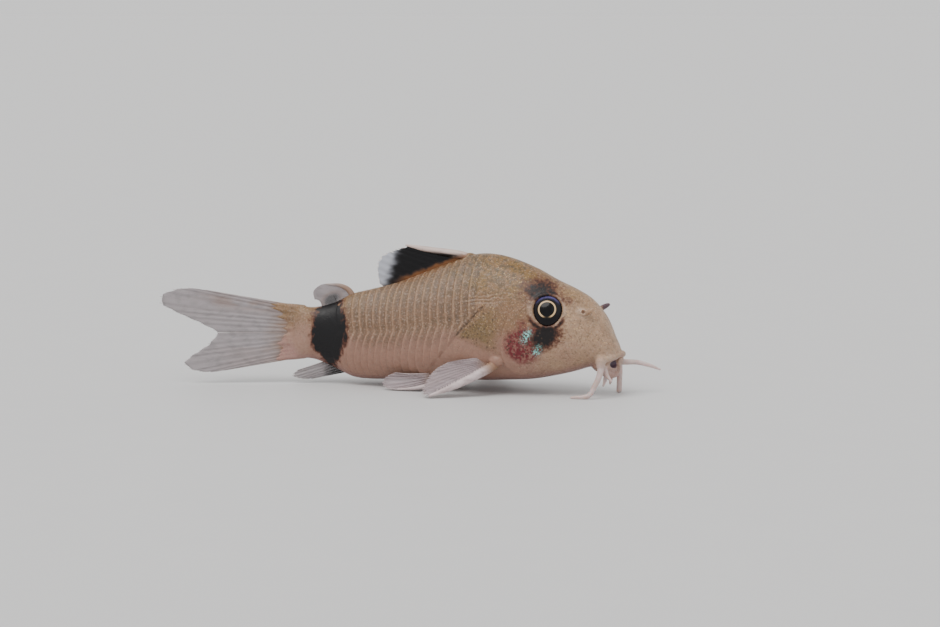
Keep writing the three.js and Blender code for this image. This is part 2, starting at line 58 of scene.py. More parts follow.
# Body line, stations and plates, as in the solids
LENGTH = 36.4
GILL_END = 12.0
GAP = 0.3
BEND_START = 25.0
BEND_ANGLE = math.radians(23)
BEND_RADIUS = (LENGTH - BEND_START) / BEND_ANGLE
PLATES = 23
PLATES_START = 14.6
PLATES_END = 35.7
PITCH = (PLATES_END - PLATES_START) / PLATES
PLATE_STEP = 0.2
PLATE_BULGE = 0.4
LOWER_BULGE = 0.85
MID_LINE = 14.0
UPPER_ROW = (85.0, MID_LINE)
LOWER_ROW = (MID_LINE, -62.0)

# Behind the snout, back, belly, half width, share of depth where widest, upper and lower roundness
STATIONS = np.array(
    [
        [0.0, 4.7, 4.7, 0.0, 0.5, 2.2, 2.2],
        [0.7, 6.4, 3.7, 1.6, 0.45, 2.1, 2.2],
        [1.7, 8.6, 3.3, 2.35, 0.43, 2.0, 2.2],
        [3.25, 10.35, 3.05, 2.95, 0.42, 2.0, 2.2],
        [5.0, 11.35, 2.5, 3.4, 0.42, 2.0, 2.3],
        [7.2, 12.3, 1.95, 3.85, 0.4, 2.0, 2.4],
        [9.6, 13.5, 1.5, 4.35, 0.38, 1.9, 2.5],
        [13.1, 14.65, 1.25, 4.75, 0.37, 1.8, 2.6],
        [16.0, 14.8, 1.12, 4.85, 0.37, 1.75, 2.7],
        [18.5, 14.05, 1.05, 4.8, 0.37, 1.75, 2.7],
        [21.5, 12.9, 0.95, 4.5, 0.38, 1.8, 2.7],
        [25.4, 11.4, 0.75, 3.75, 0.4, 1.85, 2.5],
        [28.9, 10.45, 0.62, 2.85, 0.42, 1.9, 2.4],
        [30.8, 9.95, 0.85, 2.35, 0.44, 2.0, 2.3],
        [32.7, 9.0, 1.75, 1.95, 0.47, 2.1, 2.2],
        [34.9, 8.45, 2.65, 1.5, 0.5, 2.1, 2.1],
        [36.4, 8.55, 2.85, 1.15, 0.5, 2.2, 2.2],
    ]
)
BACK, BELLY, HALF_WIDTH, WIDEST, UPPER, LOWER = range(1, 7)
ROOTS = np.sqrt(STATIONS[:, 0])
SLOPES = np.roll(STATIONS, -1, 0) - np.roll(STATIONS, 1, 0)
SLOPES /= (np.roll(ROOTS, -1) - np.roll(ROOTS, 1))[:, None]
SLOPES[0] = (STATIONS[1] - STATIONS[0]) / (ROOTS[1] - ROOTS[0])
SLOPES[-1] = (STATIONS[-1] - STATIONS[-2]) / (ROOTS[-1] - ROOTS[-2])

# The frame's origin in the fish's millimetres: the trunk starts a gap behind the gill, on the middle line
trunk_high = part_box("trunk")[1]
head_low, head_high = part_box("head")
OFFSET = np.array([trunk_high.x + (GILL_END + GAP) * MM, (head_low.y + head_high.y) / 2, 0.0])


# Curves and meshes
def station(column, behind):
    """Smooth value of a station column, over the root of the distance so that the snout is round."""
    at = np.sqrt(np.clip(behind, 0, None))
    i = np.clip(np.searchsorted(ROOTS, at) - 1, 0, len(ROOTS) - 2)
    span = ROOTS[i + 1] - ROOTS[i]
    s = np.clip((at - ROOTS[i]) / span, 0, 1)
    a, b = STATIONS[i, column], STATIONS[i + 1, column]
    ma, mb = SLOPES[i, column] * span, SLOPES[i + 1, column] * span
    start = (2 * s**3 - 3 * s**2 + 1) * a + (s**3 - 2 * s**2 + s) * ma
    return start + (3 * s**2 - 2 * s**3) * b + (s**3 - s**2) * mb


def place(behind, side, height):
    """Points on the bent body line, as an array with a row each."""
    behind, side, height = np.broadcast_arrays(*(np.asarray(v, float) for v in (behind, side, height)))
    turn = BEND_ANGLE * np.clip((behind - BEND_START) / (LENGTH - BEND_START), 0, 1)
    straight = np.clip(behind - LENGTH, 0, None)
    x = -np.minimum(behind, BEND_START) - BEND_RADIUS * np.sin(turn) - straight * np.cos(turn)
    y = -BEND_RADIUS * (1 - np.cos(turn)) - straight * np.sin(turn)
    return np.stack([x - side * np.sin(turn), y + side * np.cos(turn), height], -1)


def unplace(points):
    """Distance behind the snout, side offset and height of points in the fish's millimetres."""
    x, y, z = points.T
    turn = np.clip(np.arctan2(-(x + BEND_START), y + BEND_RADIUS), 0, BEND_ANGLE)
    bent = x < -BEND_START
    sin, cos = np.sin(turn), np.cos(turn)
    line = place(BEND_START + turn * BEND_RADIUS, 0, 0)
    dx, dy = x - line[:, 0], y - line[:, 1]
    side = np.where(bent, -sin * dx + cos * dy, y)
    past = -cos * dx - sin * dy
    behind = np.where(bent, BEND_START + turn * BEND_RADIUS + past, -x)
    return behind, side, z


def section(behind):
    """Heights of the belly, the back and the widest place."""
    belly = station(BELLY, behind)
    depth = station(BACK, behind) - belly
    widest = belly + depth * station(WIDEST, behind)
    return belly, belly + depth, widest


def skin(behind, angle):
    """Side offset and height of the skin at a section angle in degrees."""
    belly, back, widest = section(behind)
    a = np.radians(angle)
    up = a >= 0
    power = 2 / np.where(up, station(UPPER, behind), station(LOWER, behind))
    reach = np.where(up, back - widest, belly - widest)
    out = station(HALF_WIDTH, behind) * np.abs(np.cos(a)) ** power
    return out, widest + reach * np.abs(np.sin(a)) ** power


def skin_point(behind, angle, side):
    out, height = skin(behind, angle)
    return place(behind, side * out, height)


def angle_of(behind, side, height):
    """Section angle of a point on or near the skin, in degrees."""
    belly, back, widest = section(behind)
    up = height >= widest
    half = np.where(up, station(UPPER, behind), station(LOWER, behind)) / 2
    reach = np.where(up, back - widest, widest - belly)
    s = (np.abs(height - widest) / np.maximum(reach, 0.05)) ** half
    c = (np.abs(side) / np.maximum(station(HALF_WIDTH, behind), 0.05)) ** half
    return np.degrees(np.arctan2(s, c)) * np.where(up, 1, -1)


def unit(vector):
    return vector / np.linalg.norm(vector)


def outward(behind, angle, side):
    """The direction straight out of the skin."""
    here = skin_point(behind, angle, side)
    back = skin_point(behind + 0.2, angle, side) - here
    up = skin_point(behind, angle + 3, side) - here
    normal = unit(np.cross(back, up))
    return normal if normal[1] * side > 0 else -normal


def distance(points, centre):
    return np.linalg.norm(points - centre, axis=1)


def smooth(edge0, edge1, value):
    s = np.clip((value - edge0) / (edge1 - edge0), 0, 1)
    return s * s * (3 - 2 * s)


def bump(value, centre, width):
    return np.exp(-(((value - centre) / width) ** 2))


def along(at, marks, points):
    """Points at places along a line whose own points lie at the marks."""
    return np.stack([np.interp(at, marks, points[:, k]) for k in range(3)], -1)


def spline(points, count):
    """Points shared out evenly by length along a smooth line through the given ones."""
    p = np.asarray(points, float)
    ends = np.vstack([2 * p[0] - p[1], p, 2 * p[-1] - p[-2]])
    fine = []
    s = np.linspace(0, 1, 40, endpoint=False)[:, None]
    for i in range(len(p) - 1):
        a, b, c, d = ends[i : i + 4]
        square = 2 * a - 5 * b + 4 * c - d
        cube = 3 * b - a - 3 * c + d
        fine.append(0.5 * (2 * b + (c - a) * s + square * s**2 + cube * s**3))
    fine = np.vstack([*fine, p[-1:]])
    lengths = np.concatenate([[0], np.cumsum(np.linalg.norm(np.diff(fine, axis=0), axis=1))])
    return along(np.linspace(0, lengths[-1], count), lengths, fine)


def value_noise(points, scale, seed):
    """Smooth noise from 0 to 1 on a lattice of the given cell size."""
    p = points / scale + 1000.0
    cell = np.floor(p).astype(np.int64)
    f = p - cell
    f = f * f * (3 - 2 * f)

    def hashed(offset):
        c = cell + offset
        n = c[:, 0] * 73856093 ^ c[:, 1] * 19349663 ^ c[:, 2] * 83492791 ^ seed * 2654435761
        n = (n ^ (n >> 13)) * 1274126177
        return ((n ^ (n >> 16)) & 0xFFFF) / 65535.0

    total = np.zeros(len(points))
    for corner in np.ndindex(2, 2, 2):
        weight = np.ones(len(points))
        for k in range(3):
            weight = weight * (f[:, k] if corner[k] else 1 - f[:, k])
        total += weight * hashed(np.array(corner))
    return total


def cloud(points, scale, seed, octaves=3):
    total = sum(value_noise(points, scale / 2**k, seed + k) / 2**k for k in range(octaves))
    return total / sum(1 / 2**k for k in range(octaves))


def loft(rings):
    """A closed surface through rings of points, with a flat end each."""
    rings = np.asarray(rings)
    rows, columns, _ = rings.shape
    r, k = np.meshgrid(np.arange(rows - 1) * columns, np.arange(columns), indexing="ij")
    n = (k + 1) % columns
    faces = np.stack([r + k, r + n, r + columns + n, r + columns + k], -1).reshape(-1, 4).tolist()
    faces.append(list(range(columns))[::-1])
    faces.append([(rows - 1) * columns + k for k in range(columns)])
    return rings.reshape(-1, 3), faces


def rod(points, radii, sides=12, steps=40, wave=None):
    """A round rod along a smooth line, with radii spread evenly and a round tip."""
    centres = spline(points, steps + 1)
    s = np.linspace(0, 1, steps + 1)
    radius = np.interp(s, np.linspace(0, 1, len(radii)), radii)
    if wave is not None:
        radius = radius * wave(s)
    tangents = np.gradient(centres, axis=0)
    tangents /= np.linalg.norm(tangents, axis=1)[:, None]
    normal = np.cross(tangents[0], [0.3, 0.2, 1.0])
    rings = []
    for centre, tangent, r in zip(centres, tangents, radius):
        normal = unit(normal - tangent * normal.dot(tangent))
        other = np.cross(tangent, normal)
        a = 2 * np.pi * np.arange(sides) / sides
        rings.append(centre + r * (np.cos(a)[:, None] * normal + np.sin(a)[:, None] * other))
    tip = centres[-1] + tangents[-1] * radius[-1] * 0.7
    rings.append(tip + (rings[-1] - centres[-1]) * 0.45)
    return loft(rings)


def ball(centre, radii, turn=None, columns=32, rows=20):
    """An ellipsoid with its radii along the frame's axes, or turned from there."""
    a = 2 * np.pi * np.arange(columns) / columns
    rings = []
    for b in np.linspace(0.02, np.pi - 0.02, rows):
        level = np.full(columns, np.cos(b))
        ring = np.stack([np.sin(b) * np.cos(a), np.sin(b) * np.sin(a), level], 1) * radii
        if turn is not None:
            ring = ring @ np.array(turn.to_matrix()).T
        rings.append(centre + ring)
    return loft(rings)


def facing(direction):
    return Vector((0, 0, 1)).rotation_difference(Vector(direction))


def linked(name, data):
    """An object with the given data, put into the scene."""
    made = bpy.data.objects.new(name, data)
    bpy.context.scene.collection.objects.link(made)
    return made


def smooth_shaded(mesh):
    mesh.polygons.foreach_set("use_smooth", np.ones(len(mesh.polygons), bool))


def disc(centre, normal, wide, high, columns=32, rows=20):
    """A flattened ball that faces along the normal."""
    return ball(centre, (wide, wide, high), facing(normal), columns, rows)


def piece(name, verts, faces, in_mm=False):
    """A mesh object from points in the fish's millimetres, put into the frame unless left in_mm."""
    mesh = bpy.data.meshes.new(name)
    points = np.asarray(verts, float)
    mesh.from_pydata((points if in_mm else points * MM + OFFSET).tolist(), [], faces)
    mesh.update()
    smooth_shaded(mesh)
    return linked(name, mesh)


def joined(parts):
    verts, faces, start = [], [], 0
    for points, polygons in parts:
        verts.append(points)
        faces += [[start + k for k in face] for face in polygons]
        start += len(points)
    return np.vstack(verts), faces


def modify(made, kind, **settings):
    modifier = made.modifiers.new(kind, kind)
    for key, value in settings.items():
        setattr(modifier, key, value)
    bpy.context.view_layer.objects.active = made
    bpy.ops.object.modifier_apply(modifier=modifier.name)


def vectors(items, key):
    values = np.zeros(len(items) * 3)
    items.foreach_get(key, values)
    return values.reshape(-1, 3)


def set_points(mesh, points):
    mesh.vertices.foreach_set("co", np.asarray(points, float).ravel())
    mesh.update()


def mark(mesh, name, values):
    attribute = mesh.attributes.new(name, "FLOAT", "POINT")
    attribute.data.foreach_set("value", np.asarray(values, np.float32))


# Material nodes
class Nodes:
    """Short names for the node types that the materials use."""

    def __init__(self, name):
        self.material = bpy.data.materials.new(name)
        self.material.use_nodes = True
        self.tree = self.material.node_tree
        self.coords = self.node("ShaderNodeTexCoord").outputs["Object"]

    def wire(self, socket, value):
        """Gives a socket a value or a link, which may be a marking by its name."""
        if isinstance(value, str):
            value = self.attribute(value)
        if isinstance(value, bpy.types.NodeSocket):
            self.tree.links.new(value, socket)
        else:
            socket.default_value = value

    def fill(self, node, inputs):
        """Wires a node's inputs, with underscores for the spaces in their names."""
        for key, value in inputs.items():
            self.wire(node.inputs[key.replace("_", " ")], value)
        return node

    def node(self, kind, **inputs):
        return self.fill(self.tree.nodes.new(kind), inputs)

    def attribute(self, name):
        node = self.node("ShaderNodeAttribute")
        node.attribute_name = name
        return node.outputs["Fac"]

    def noise(self, size, detail=3.0, stretch=(1, 1, 1), offset=(0, 0, 0)):
        scale = [s / (size * MM) for s in stretch]
        mapping = self.node("ShaderNodeMapping", Vector=self.coords, Scale=scale, Location=offset)
        at = mapping.outputs["Vector"]
        return self.node("ShaderNodeTexNoise", Vector=at, Scale=1.0, Detail=detail).outputs["Fac"]

    def speckle(self, size, low, high, offset=(0, 0, 0)):
        """Irregular dots, about one a cell."""
        cells = self.node("ShaderNodeTexVoronoi", Vector=self.coords, Scale=1 / (size * MM))
        blurred = self.times(self.noise(size * 2.1, 2, offset=offset), 0.9)
        return self.between(self.plus(cells.outputs["Distance"], blurred), low, high, 1.0, 0.0)

    def patches(self, size, detail, low, high, to_low=0.0, to_high=1.0, offset=(0, 0, 0)):
        """Noise with its edges drawn together, as blotches of about the given size."""
        return self.between(self.noise(size, detail, offset=offset), low, high, to_low, to_high)

    def frayed(self, marking, noise, strength):
        """A marking whose edge is moved to and fro by noise."""
        centred = self.math("SUBTRACT", noise, 0.5)
        return self.plus(marking, self.times(centred, strength))

    def between(self, value, low, high, to_low=0.0, to_high=1.0):
        ends = {"From_Min": low, "From_Max": high, "To_Min": to_low, "To_Max": to_high}
        node = self.node("ShaderNodeMapRange", Value=value, **ends)
        node.interpolation_type = "SMOOTHSTEP"
        return node.outputs["Result"]

    def math(self, operation, a, b):
        node = self.node("ShaderNodeMath")
        node.operation = operation
        self.wire(node.inputs[0], a)
        self.wire(node.inputs[1], b)
        return node.outputs[0]

    def plus(self, a, b):
        return self.math("ADD", a, b)

    def times(self, a, b):
        return self.math("MULTIPLY", a, b)

    def layered(self, base, layers):
        """A colour with others laid over it in turn, each as strong as its own factor."""
        for colour, factor in layers:
            node = self.node("ShaderNodeMix")
            node.data_type = "RGBA"
            self.wire(node.inputs[0], factor)
            self.wire(node.inputs[6], base if isinstance(base, bpy.types.NodeSocket) else (*base, 1))
            self.wire(node.inputs[7], (*colour, 1))
            base = node.outputs[2]
        return base

    def ramp(self, value, stops):
        node = self.node("ShaderNodeValToRGB", Fac=value)
        elements = node.color_ramp.elements
        while len(elements) < len(stops):
            elements.new(0.5)
        for element, (at, colour) in zip(elements, stops):
            element.position = at
            element.color = (*colour, 1)
        return node.outputs["Color"]

    def bump(self, height, distance, strength, **under):
        inputs = {"Height": height, "Distance": distance * MM, "Strength": strength, **under}
        return self.node("ShaderNodeBump", **inputs).outputs["Normal"]

    def finish(self, **inputs):
        self.fill(self.tree.nodes["Principled BSDF"], inputs)
        return self.material


# Colours, linear
TAN = (0.228, 0.128, 0.072)
SNOUT_TAN = (0.38, 0.245, 0.155)
PINK_TAN = (0.31, 0.175, 0.128)
# The belly's own pink, darkened to stand for the shade under the body: partly real tone, partly painted
# shade
BELLY_PINK_AND_SHADE = (0.30, 0.160, 0.138)
GILT = (0.200, 0.112, 0.032)
OLIVE = (0.150, 0.098, 0.038)
UMBER = (0.060, 0.035, 0.022)
SLATE = (0.105, 0.072, 0.055)
MOSS = (0.070, 0.050, 0.026)
FRINGE = (0.085, 0.022, 0.010)
SOOT = (0.0020, 0.0016, 0.0026)
MAROON = (0.130, 0.012, 0.018)
GOLD = (0.80, 0.54, 0.24)
PALE = (0.56, 0.42, 0.33)
# Painted glints on the cheek: teal sheen, and near-white at the brightest spots
GLINT_TEAL = (0.10, 0.46, 0.42)
GLINT_HIGHLIGHT_WHITE = (0.50, 0.85, 0.80)
RUST = (0.165, 0.066, 0.018)
GRAPE = (0.075, 0.042, 0.065)
BARBEL_PINK = (0.50, 0.37, 0.34)
BARBEL_PALE = (0.60, 0.49, 0.47)
FIN_FLESH = (0.29, 0.172, 0.112)
FIN_RUST = (0.22, 0.085, 0.026)
MILKY = (0.62, 0.60, 0.60)
BLUISH = (0.50, 0.52, 0.58)
EYE_BLACK = (0.002, 0.002, 0.003)
# Painted sheen: purple light along the top of the wet eye
SHEEN_VIOLET = (0.10, 0.085, 0.26)

# The eye's colours from its middle outward, by share of its radius: pupil, gold ring and dark rim
EYE_RINGS = (
    (0.0, (0.0012, 0.001, 0.0015)),
    (0.455, (0.0012, 0.001, 0.0015)),
    (0.485, (0.70, 0.50, 0.27)),
    (0.545, (0.62, 0.42, 0.22)),
    (0.575, (0.003, 0.002, 0.003)),
    (1.0, (0.004, 0.003, 0.005)),
)

# Plain and dark colours of each fin material, its opacity, how strong its specks are, and its pale colour
FIN_LOOKS = {
    "smoky_web": ((0.33, 0.29, 0.30), (0.20, 0.17, 0.18), 0.72, 0.35, MILKY),
    "clear_web": ((0.42, 0.34, 0.36), (0.25, 0.19, 0.20), 0.55, 0.35, MILKY),
    "soft_rays": ((0.42, 0.35, 0.33), (0.24, 0.19, 0.18), 0.9, 0.3, MILKY),
    "pale_rays": ((0.60, 0.50, 0.50), (0.30, 0.22, 0.22), 1.0, 0.7, MILKY),
    "black_web": ((0.03, 0.026, 0.03), SOOT, 0.97, 0.35, BLUISH),
    "dusky_rays": ((0.58, 0.46, 0.42), (0.25, 0.18, 0.15), 1.0, 0.35, BLUISH),
}


def coat(weight, roughness):
    """A thin wet film over a material."""
    return {"Coat_Weight": weight, "Coat_Roughness": roughness}


def skin_material():
    n = Nodes("fish_skin")
    cloudy = n.noise(1.3, 4)
    grains = n.noise(0.17, 3)
    smoke = n.frayed("smoke", n.noise(0.34, 6), 1.5)
    band = n.frayed("band", n.noise(0.5, 6, stretch=(1.3, 1.3, 0.8)), 2.2)
    layers = (
        (PINK_TAN, "low"),
        (SNOUT_TAN, n.times("snout", n.between(cloudy, 0.3, 0.65, 0.5))),
        # Belly tone, darkened partly as painted shade under the body
        (BELLY_PINK_AND_SHADE, "belly"),
        (GILT, n.times("gilt", n.between(cloudy, 0.35, 0.6, 0.35))),
        (OLIVE, n.times("olive", n.between(cloudy, 0.3, 0.6, 0.6))),
        (SLATE, n.times("stripe", n.patches(0.3, 5, 0.3, 0.7, 0.55))),
        (MOSS, n.times("mottle", n.patches(0.5, 5, 0.47, 0.62, offset=(3, 1, 2)))),
        # Dark joints of the plates and the groove, and painted shade in the troughs between the wrinkles
        (UMBER, n.times("seam", n.patches(0.3, 3, 0.35, 0.6, 0.2))),
        (GOLD, n.times("gold", n.speckle(0.22, 0.48, 0.66, (7, 5, 1)))),
        (RUST, n.times("rust", n.patches(0.4, 4, 0.35, 0.6, 0.3))),
        (PALE, n.times("fleck", n.patches(0.19, 4, 0.5, 0.68, 0.0, 0.28, (4, 4, 1)))),
        (MOSS, n.times("fleck", n.patches(0.24, 4, 0.5, 0.68, 0.0, 0.38, (1, 6, 3)))),
        (MAROON, n.times("blush", n.patches(0.32, 5, 0.38, 0.56, 0.45))),
        # Pale marks, which include painted highlights on the wrinkles' tops
        (PALE, n.times("pale", n.patches(0.25, 3, 0.35, 0.6, 0.4))),
        (UMBER, n.times("specks", n.speckle(0.20, 0.46, 0.62, (2, 9, 4)))),
        (FRINGE, n.between(smoke, -0.15, 0.6, 0.0, 0.92)),
        (SOOT, n.between(smoke, 0.32, 0.95, 0.0, 0.97)),
        (UMBER, n.times("dots", n.speckle(0.34, 0.68, 0.80, (5, 2, 8)))),
        (FRINGE, n.between(band, -0.5, 0.2, 0.0, 0.92)),
        (SOOT, n.between(band, -0.05, 0.5)),
        (BARBEL_PINK, "sleeve"),
        (GRAPE, "mouth"),
        # Painted glints on the cheek: teal sheen, near-white where brightest
        (GLINT_TEAL, n.times("cheek_glint_sheen", n.between(grains, 0.42, 0.55))),
        (GLINT_HIGHLIGHT_WHITE, n.times("cheek_glint_sheen", n.between(grains, 0.54, 0.62))),
    )
    grain = n.bump(n.noise(0.15, 4), 0.05, 0.6)
    return n.finish(
        Base_Color=n.layered(TAN, layers),
        Roughness=n.patches(0.5, 3, 0.3, 0.7, 0.34, 0.5),
        Normal=n.bump(n.noise(0.42, 3), 0.06, 0.45, Normal=grain),
        Subsurface_Weight=0.1,
        Subsurface_Scale=0.0010,
        Subsurface_Radius=(1.0, 0.45, 0.3),
        Specular_IOR_Level=0.3,
        **coat(0.07, 0.22),
    )


def fin_material(name, plain, dark, alpha, speck, tint):
    n = Nodes(name)
    streak = n.noise(0.5, 4, stretch=(0.25, 1, 1))
    layers = (
        (dark, n.between(streak, 0.42, 0.7, 0.0, 0.6)),
        (dark, n.times(n.speckle(0.24, 0.42, 0.60), speck)),
        (tint, "pale"),
        (FIN_FLESH, "flesh"),
        (FIN_RUST, "rust"),
        (SOOT, "soot"),
    )
    return n.finish(
        Base_Color=n.layered(plain, layers),
        Roughness=0.36,
        Normal=n.bump(n.noise(0.16, 3), 0.02, 0.5),
        Alpha=alpha,
        Specular_IOR_Level=0.22,
        **coat(0.04, 0.2),
    )


def barbel_material():
    n = Nodes("barbel_skin")
    layers = (
        (BARBEL_PALE, n.patches(1.5, 3, 0.3, 0.7)),
        (UMBER, n.times(n.speckle(0.22, 0.36, 0.52), 0.15)),
    )
    return n.finish(
        Base_Color=n.layered(BARBEL_PINK, layers),
        Roughness=0.34,
        Normal=n.bump(n.noise(0.14, 3), 0.015, 0.4),
        Subsurface_Weight=0.2,
        Subsurface_Scale=0.0008,
        Coat_Weight=0.3,
    )


def eye_material():
    n = Nodes("wet_eye")
    layers = (
        (EYE_BLACK, "closed"),
        # Painted sheen: a purple crescent of reflected light along the eye's top
        (SHEEN_VIOLET, n.times("eye_top_sheen", n.patches(0.4, 3, 0.3, 0.6, 0.4))),
    )
    colour = n.layered(n.ramp("radius", EYE_RINGS), layers)
    return n.finish(Base_Color=colour, Roughness=0.16, Specular_IOR_Level=0.16, **coat(0.12, 0.03))


# Forms of the face and body, placed like those of the solids. Points are given as behind, side and
# height, and radii as length, width and height
MOUTH_CORNERS = ([1.45, -2.3, 3.95], [1.0, 2.3, 3.95])
CORNER_RADIUS = 0.6
UPPER_LIP = ([[0.7, -1.35, 4.25], [0.15, 0, 4.5], [0.15, 1.3, 4.4]], 0.36)
LOWER_LIP = ([[1.35, -1.75, 2.75], [0.85, -0.6, 2.3], [0.65, 0.7, 2.35], [0.85, 1.75, 2.8]], 0.34)
JAW = ([1.75, 0, 3.3], (1.35, 1.75, 0.85))
MOUTH_SLIT = ([0.2, 0, 3.45], (0.95, 1.38, 0.46))
KNOB = ([17.1, 0, 14.4], (0.75, 0.42, 0.45))
FIN_SHOULDER = ([12.5, 4.05, 3.75], (0.95, 0.75, 0.7))
EYE = {"behind": 7.1, "angle": 31.0, "radius": 1.72, "depth": 1.1, "sunk": 0.5}
SOCKET_GAP = 0.02
NOSTRIL = {"behind": 3.45, "angle": 42.0, "radius": 0.46, "rise": 0.32, "lean": 0.5}
PIT_OUT, PIT_RADIUS, PIT_DEPTH = 0.35, 0.24, 0.6
NOSTRIL_FLAP = (0.26, 0.44, 0.95)
GILL_COVER = {"behind": 9.35, "angle": -9.0, "length": 2.5, "angles": 40.0, "rise": 0.3}

# Barbels, as the middle line and the radii along it
BARBELS = {
    "barbel_rear_right": (
        [[1.4, -2.4, 4.0], [1.4, -2.7, 2.6], [1.8, -3.1, 1.45], [2.45, -3.5, 0.35], [4.25, -3.8, 0.12]],
        [0.4, 0.33, 0.28, 0.26, 0.14],
    ),
    "barbel_front_right": ([[1.2, -1.85, 3.3], [0.9, -1.8, 2.4], [0.4, -1.75, 1.75]], [0.28, 0.24, 0.12]),
    "barbel_rear_left": (
        [[1.0, 2.5, 4.0], [0.95, 2.75, 2.5], [1.0, 2.9, 1.2], [1.05, 2.95, 0.1]],
        [0.4, 0.34, 0.3, 0.3],
    ),
    "barbel_front_left": (
        [[1.0, 2.1, 3.6], [0.4, 2.4, 3.4], [-0.9, 3.0, 3.35], [-2.2, 3.7, 2.95], [-3.15, 4.3, 2.5]],
        [0.34, 0.3, 0.26, 0.2, 0.1],
    ),
    "barbel_chin_right": ([[1.3, -0.8, 2.4], [1.4, -0.9, 1.75], [1.55, -1.05, 1.15]], [0.26, 0.22, 0.1]),
    "barbel_chin_left": ([[1.2, 0.75, 2.4], [1.3, 0.85, 1.75], [1.45, 1.0, 1.15]], [0.26, 0.22, 0.1]),
}

# The tail's fleshy root: how far past the stem and how thick each ring is, and the flesh over the rays
TAIL_FLESH = ((0.3, 0.8), (0.6, 0.6), (0.9, 0.42))
TAIL_MIDDLE = 5.7
RAY_SPREAD = 0.065
FINGER_FOOT, FINGER_TOP, FINGERS = 3.15, 8.25, 15
FINGER_SUNK = 0.3

ROUGH_VOXEL = 0.12
FINE_VOXEL = 0.07

# The quick way to cut one mesh from another has another name in later versions
SOLVERS = bpy.types.BooleanModifier.bl_rna.properties["solver"].enum_items
QUICK_SOLVER = "FAST" if "FAST" in SOLVERS else "FLOAT"


def on_skin(form, side):
    """The point where a form sits on the skin, and the direction out of it."""
    here = form["behind"], form["angle"], side
    return skin_point(*here), outward(*here)


def eye_centre(side):
    at, normal = on_skin(EYE, side)
    return at - normal * EYE["sunk"], normal


def nostril_flap(side):
    """Where the small flap ahead of a nostril stands, and the way it leans."""
    at, normal = on_skin(NOSTRIL, side)
    leaning = unit(normal + np.array([NOSTRIL["lean"], 0, 0]))
    return at + np.array([NOSTRIL["radius"], 0, 0]) + leaning * NOSTRIL_FLAP[2] * 0.35, leaning


def oval(centre, radii):
    return ball(place(*centre), radii)


def lip(path, radius):
    points = [place(*point) for point in [MOUTH_CORNERS[0], *path, MOUTH_CORNERS[1]]]
    return rod(points, [radius, radius], 16, 60)


def body_loft():
    """The plain body, with its rings closer together towards the snout."""
    down = np.linspace(90, -90, 49)
    angles = np.concatenate([down, down[-2:0:-1]])
    sides = np.where(np.arange(len(angles)) < len(down), RIGHT, LEFT)
    behinds = LENGTH * np.linspace(0.0004, 1, 150) ** 1.5
    rings = [skin_point(b, angles, sides) for b in behinds]
    out, height = skin(LENGTH, angles)
    middle = (station(BACK, LENGTH) + station(BELLY, LENGTH)) / 2
    for past, thin in TAIL_FLESH:
        spread = 1 + 0.06 * past
        rings.append(place(LENGTH + past, sides * out * thin, middle + (height - middle) * spread))
    return loft(rings)


def tail_fingers():
    """Tapering flesh over the roots of the tail's rays."""
    draw = np.random.default_rng(6)
    parts = []
    for height in np.linspace(FINGER_FOOT, FINGER_TOP, FINGERS):
        aside = height - TAIL_MIDDLE
        reach = draw.uniform(1.3, 2.6) + 0.55 * abs(aside)
        behinds = LENGTH - FINGER_SUNK + np.linspace(0, reach + FINGER_SUNK, 6)
        path = place(behinds, 0, height + aside * RAY_SPREAD * (behinds - LENGTH))
        parts.append(rod(path, [0.5, 0.42, 0.28, 0.06], 10, 16))
    return parts


def barbel_root(path):
    """The part of a barbel's middle line that the skin covers."""
    return spline([place(*point) for point in path], 41)[:11]


def middle_forms():
    """The forms of the skin that are not one a side."""
    parts = [body_loft(), lip(*UPPER_LIP), lip(*LOWER_LIP)]
    parts += [ball(place(*corner), [CORNER_RADIUS] * 3) for corner in MOUTH_CORNERS]
    parts += [oval(*JAW), oval(*KNOB), *tail_fingers()]
    for path, (first, second, *_) in BARBELS.values():
        thick = [first + 0.14, first + 0.05, second, second - 0.05]
        parts.append(rod(barbel_root(path), thick, 14, 20))
    return parts


def side_forms(side):
    """Fin shoulder, nostril rim and nostril flap of one side, and the hollows of nostril and eye."""
    (behind, out, height), radii = FIN_SHOULDER
    at, normal = on_skin(NOSTRIL, side)
    flap, leaning = nostril_flap(side)
    parts = [
        ball(place(behind, side * out, height), radii),
        disc(at, normal, NOSTRIL["radius"], NOSTRIL["rise"]),
        ball(flap, NOSTRIL_FLAP, facing(leaning)),
    ]
    socket = EYE["radius"] + SOCKET_GAP, EYE["depth"] + SOCKET_GAP
    cuts = [
        disc(at + normal * PIT_OUT, normal, PIT_RADIUS, PIT_DEPTH),
        disc(*eye_centre(side), *socket, 48, 28),
    ]
    return parts, cuts


def skin_piece():
    parts, cuts = middle_forms(), [oval(*MOUTH_SLIT)]
    for side in (RIGHT, LEFT):
        more, hollows = side_forms(side)
        parts += more
        cuts += hollows
    made = piece("skin", *joined(parts), in_mm=True)
    modify(made, "REMESH", mode="VOXEL", voxel_size=ROUGH_VOXEL)
    for cut in cuts:
        tool = piece("cut", *cut, in_mm=True)
        modify(made, "BOOLEAN", operation="DIFFERENCE", solver=QUICK_SOLVER, object=tool)
        bpy.data.objects.remove(tool)
    modify(made, "REMESH", mode="VOXEL", voxel_size=FINE_VOXEL)
    modify(made, "SMOOTH", factor=0.5, iterations=3)
    dress_skin(made.data)
    set_points(made.data, vectors(made.data.vertices, "co") * MM + OFFSET)
    smooth_shaded(made.data)
    return made


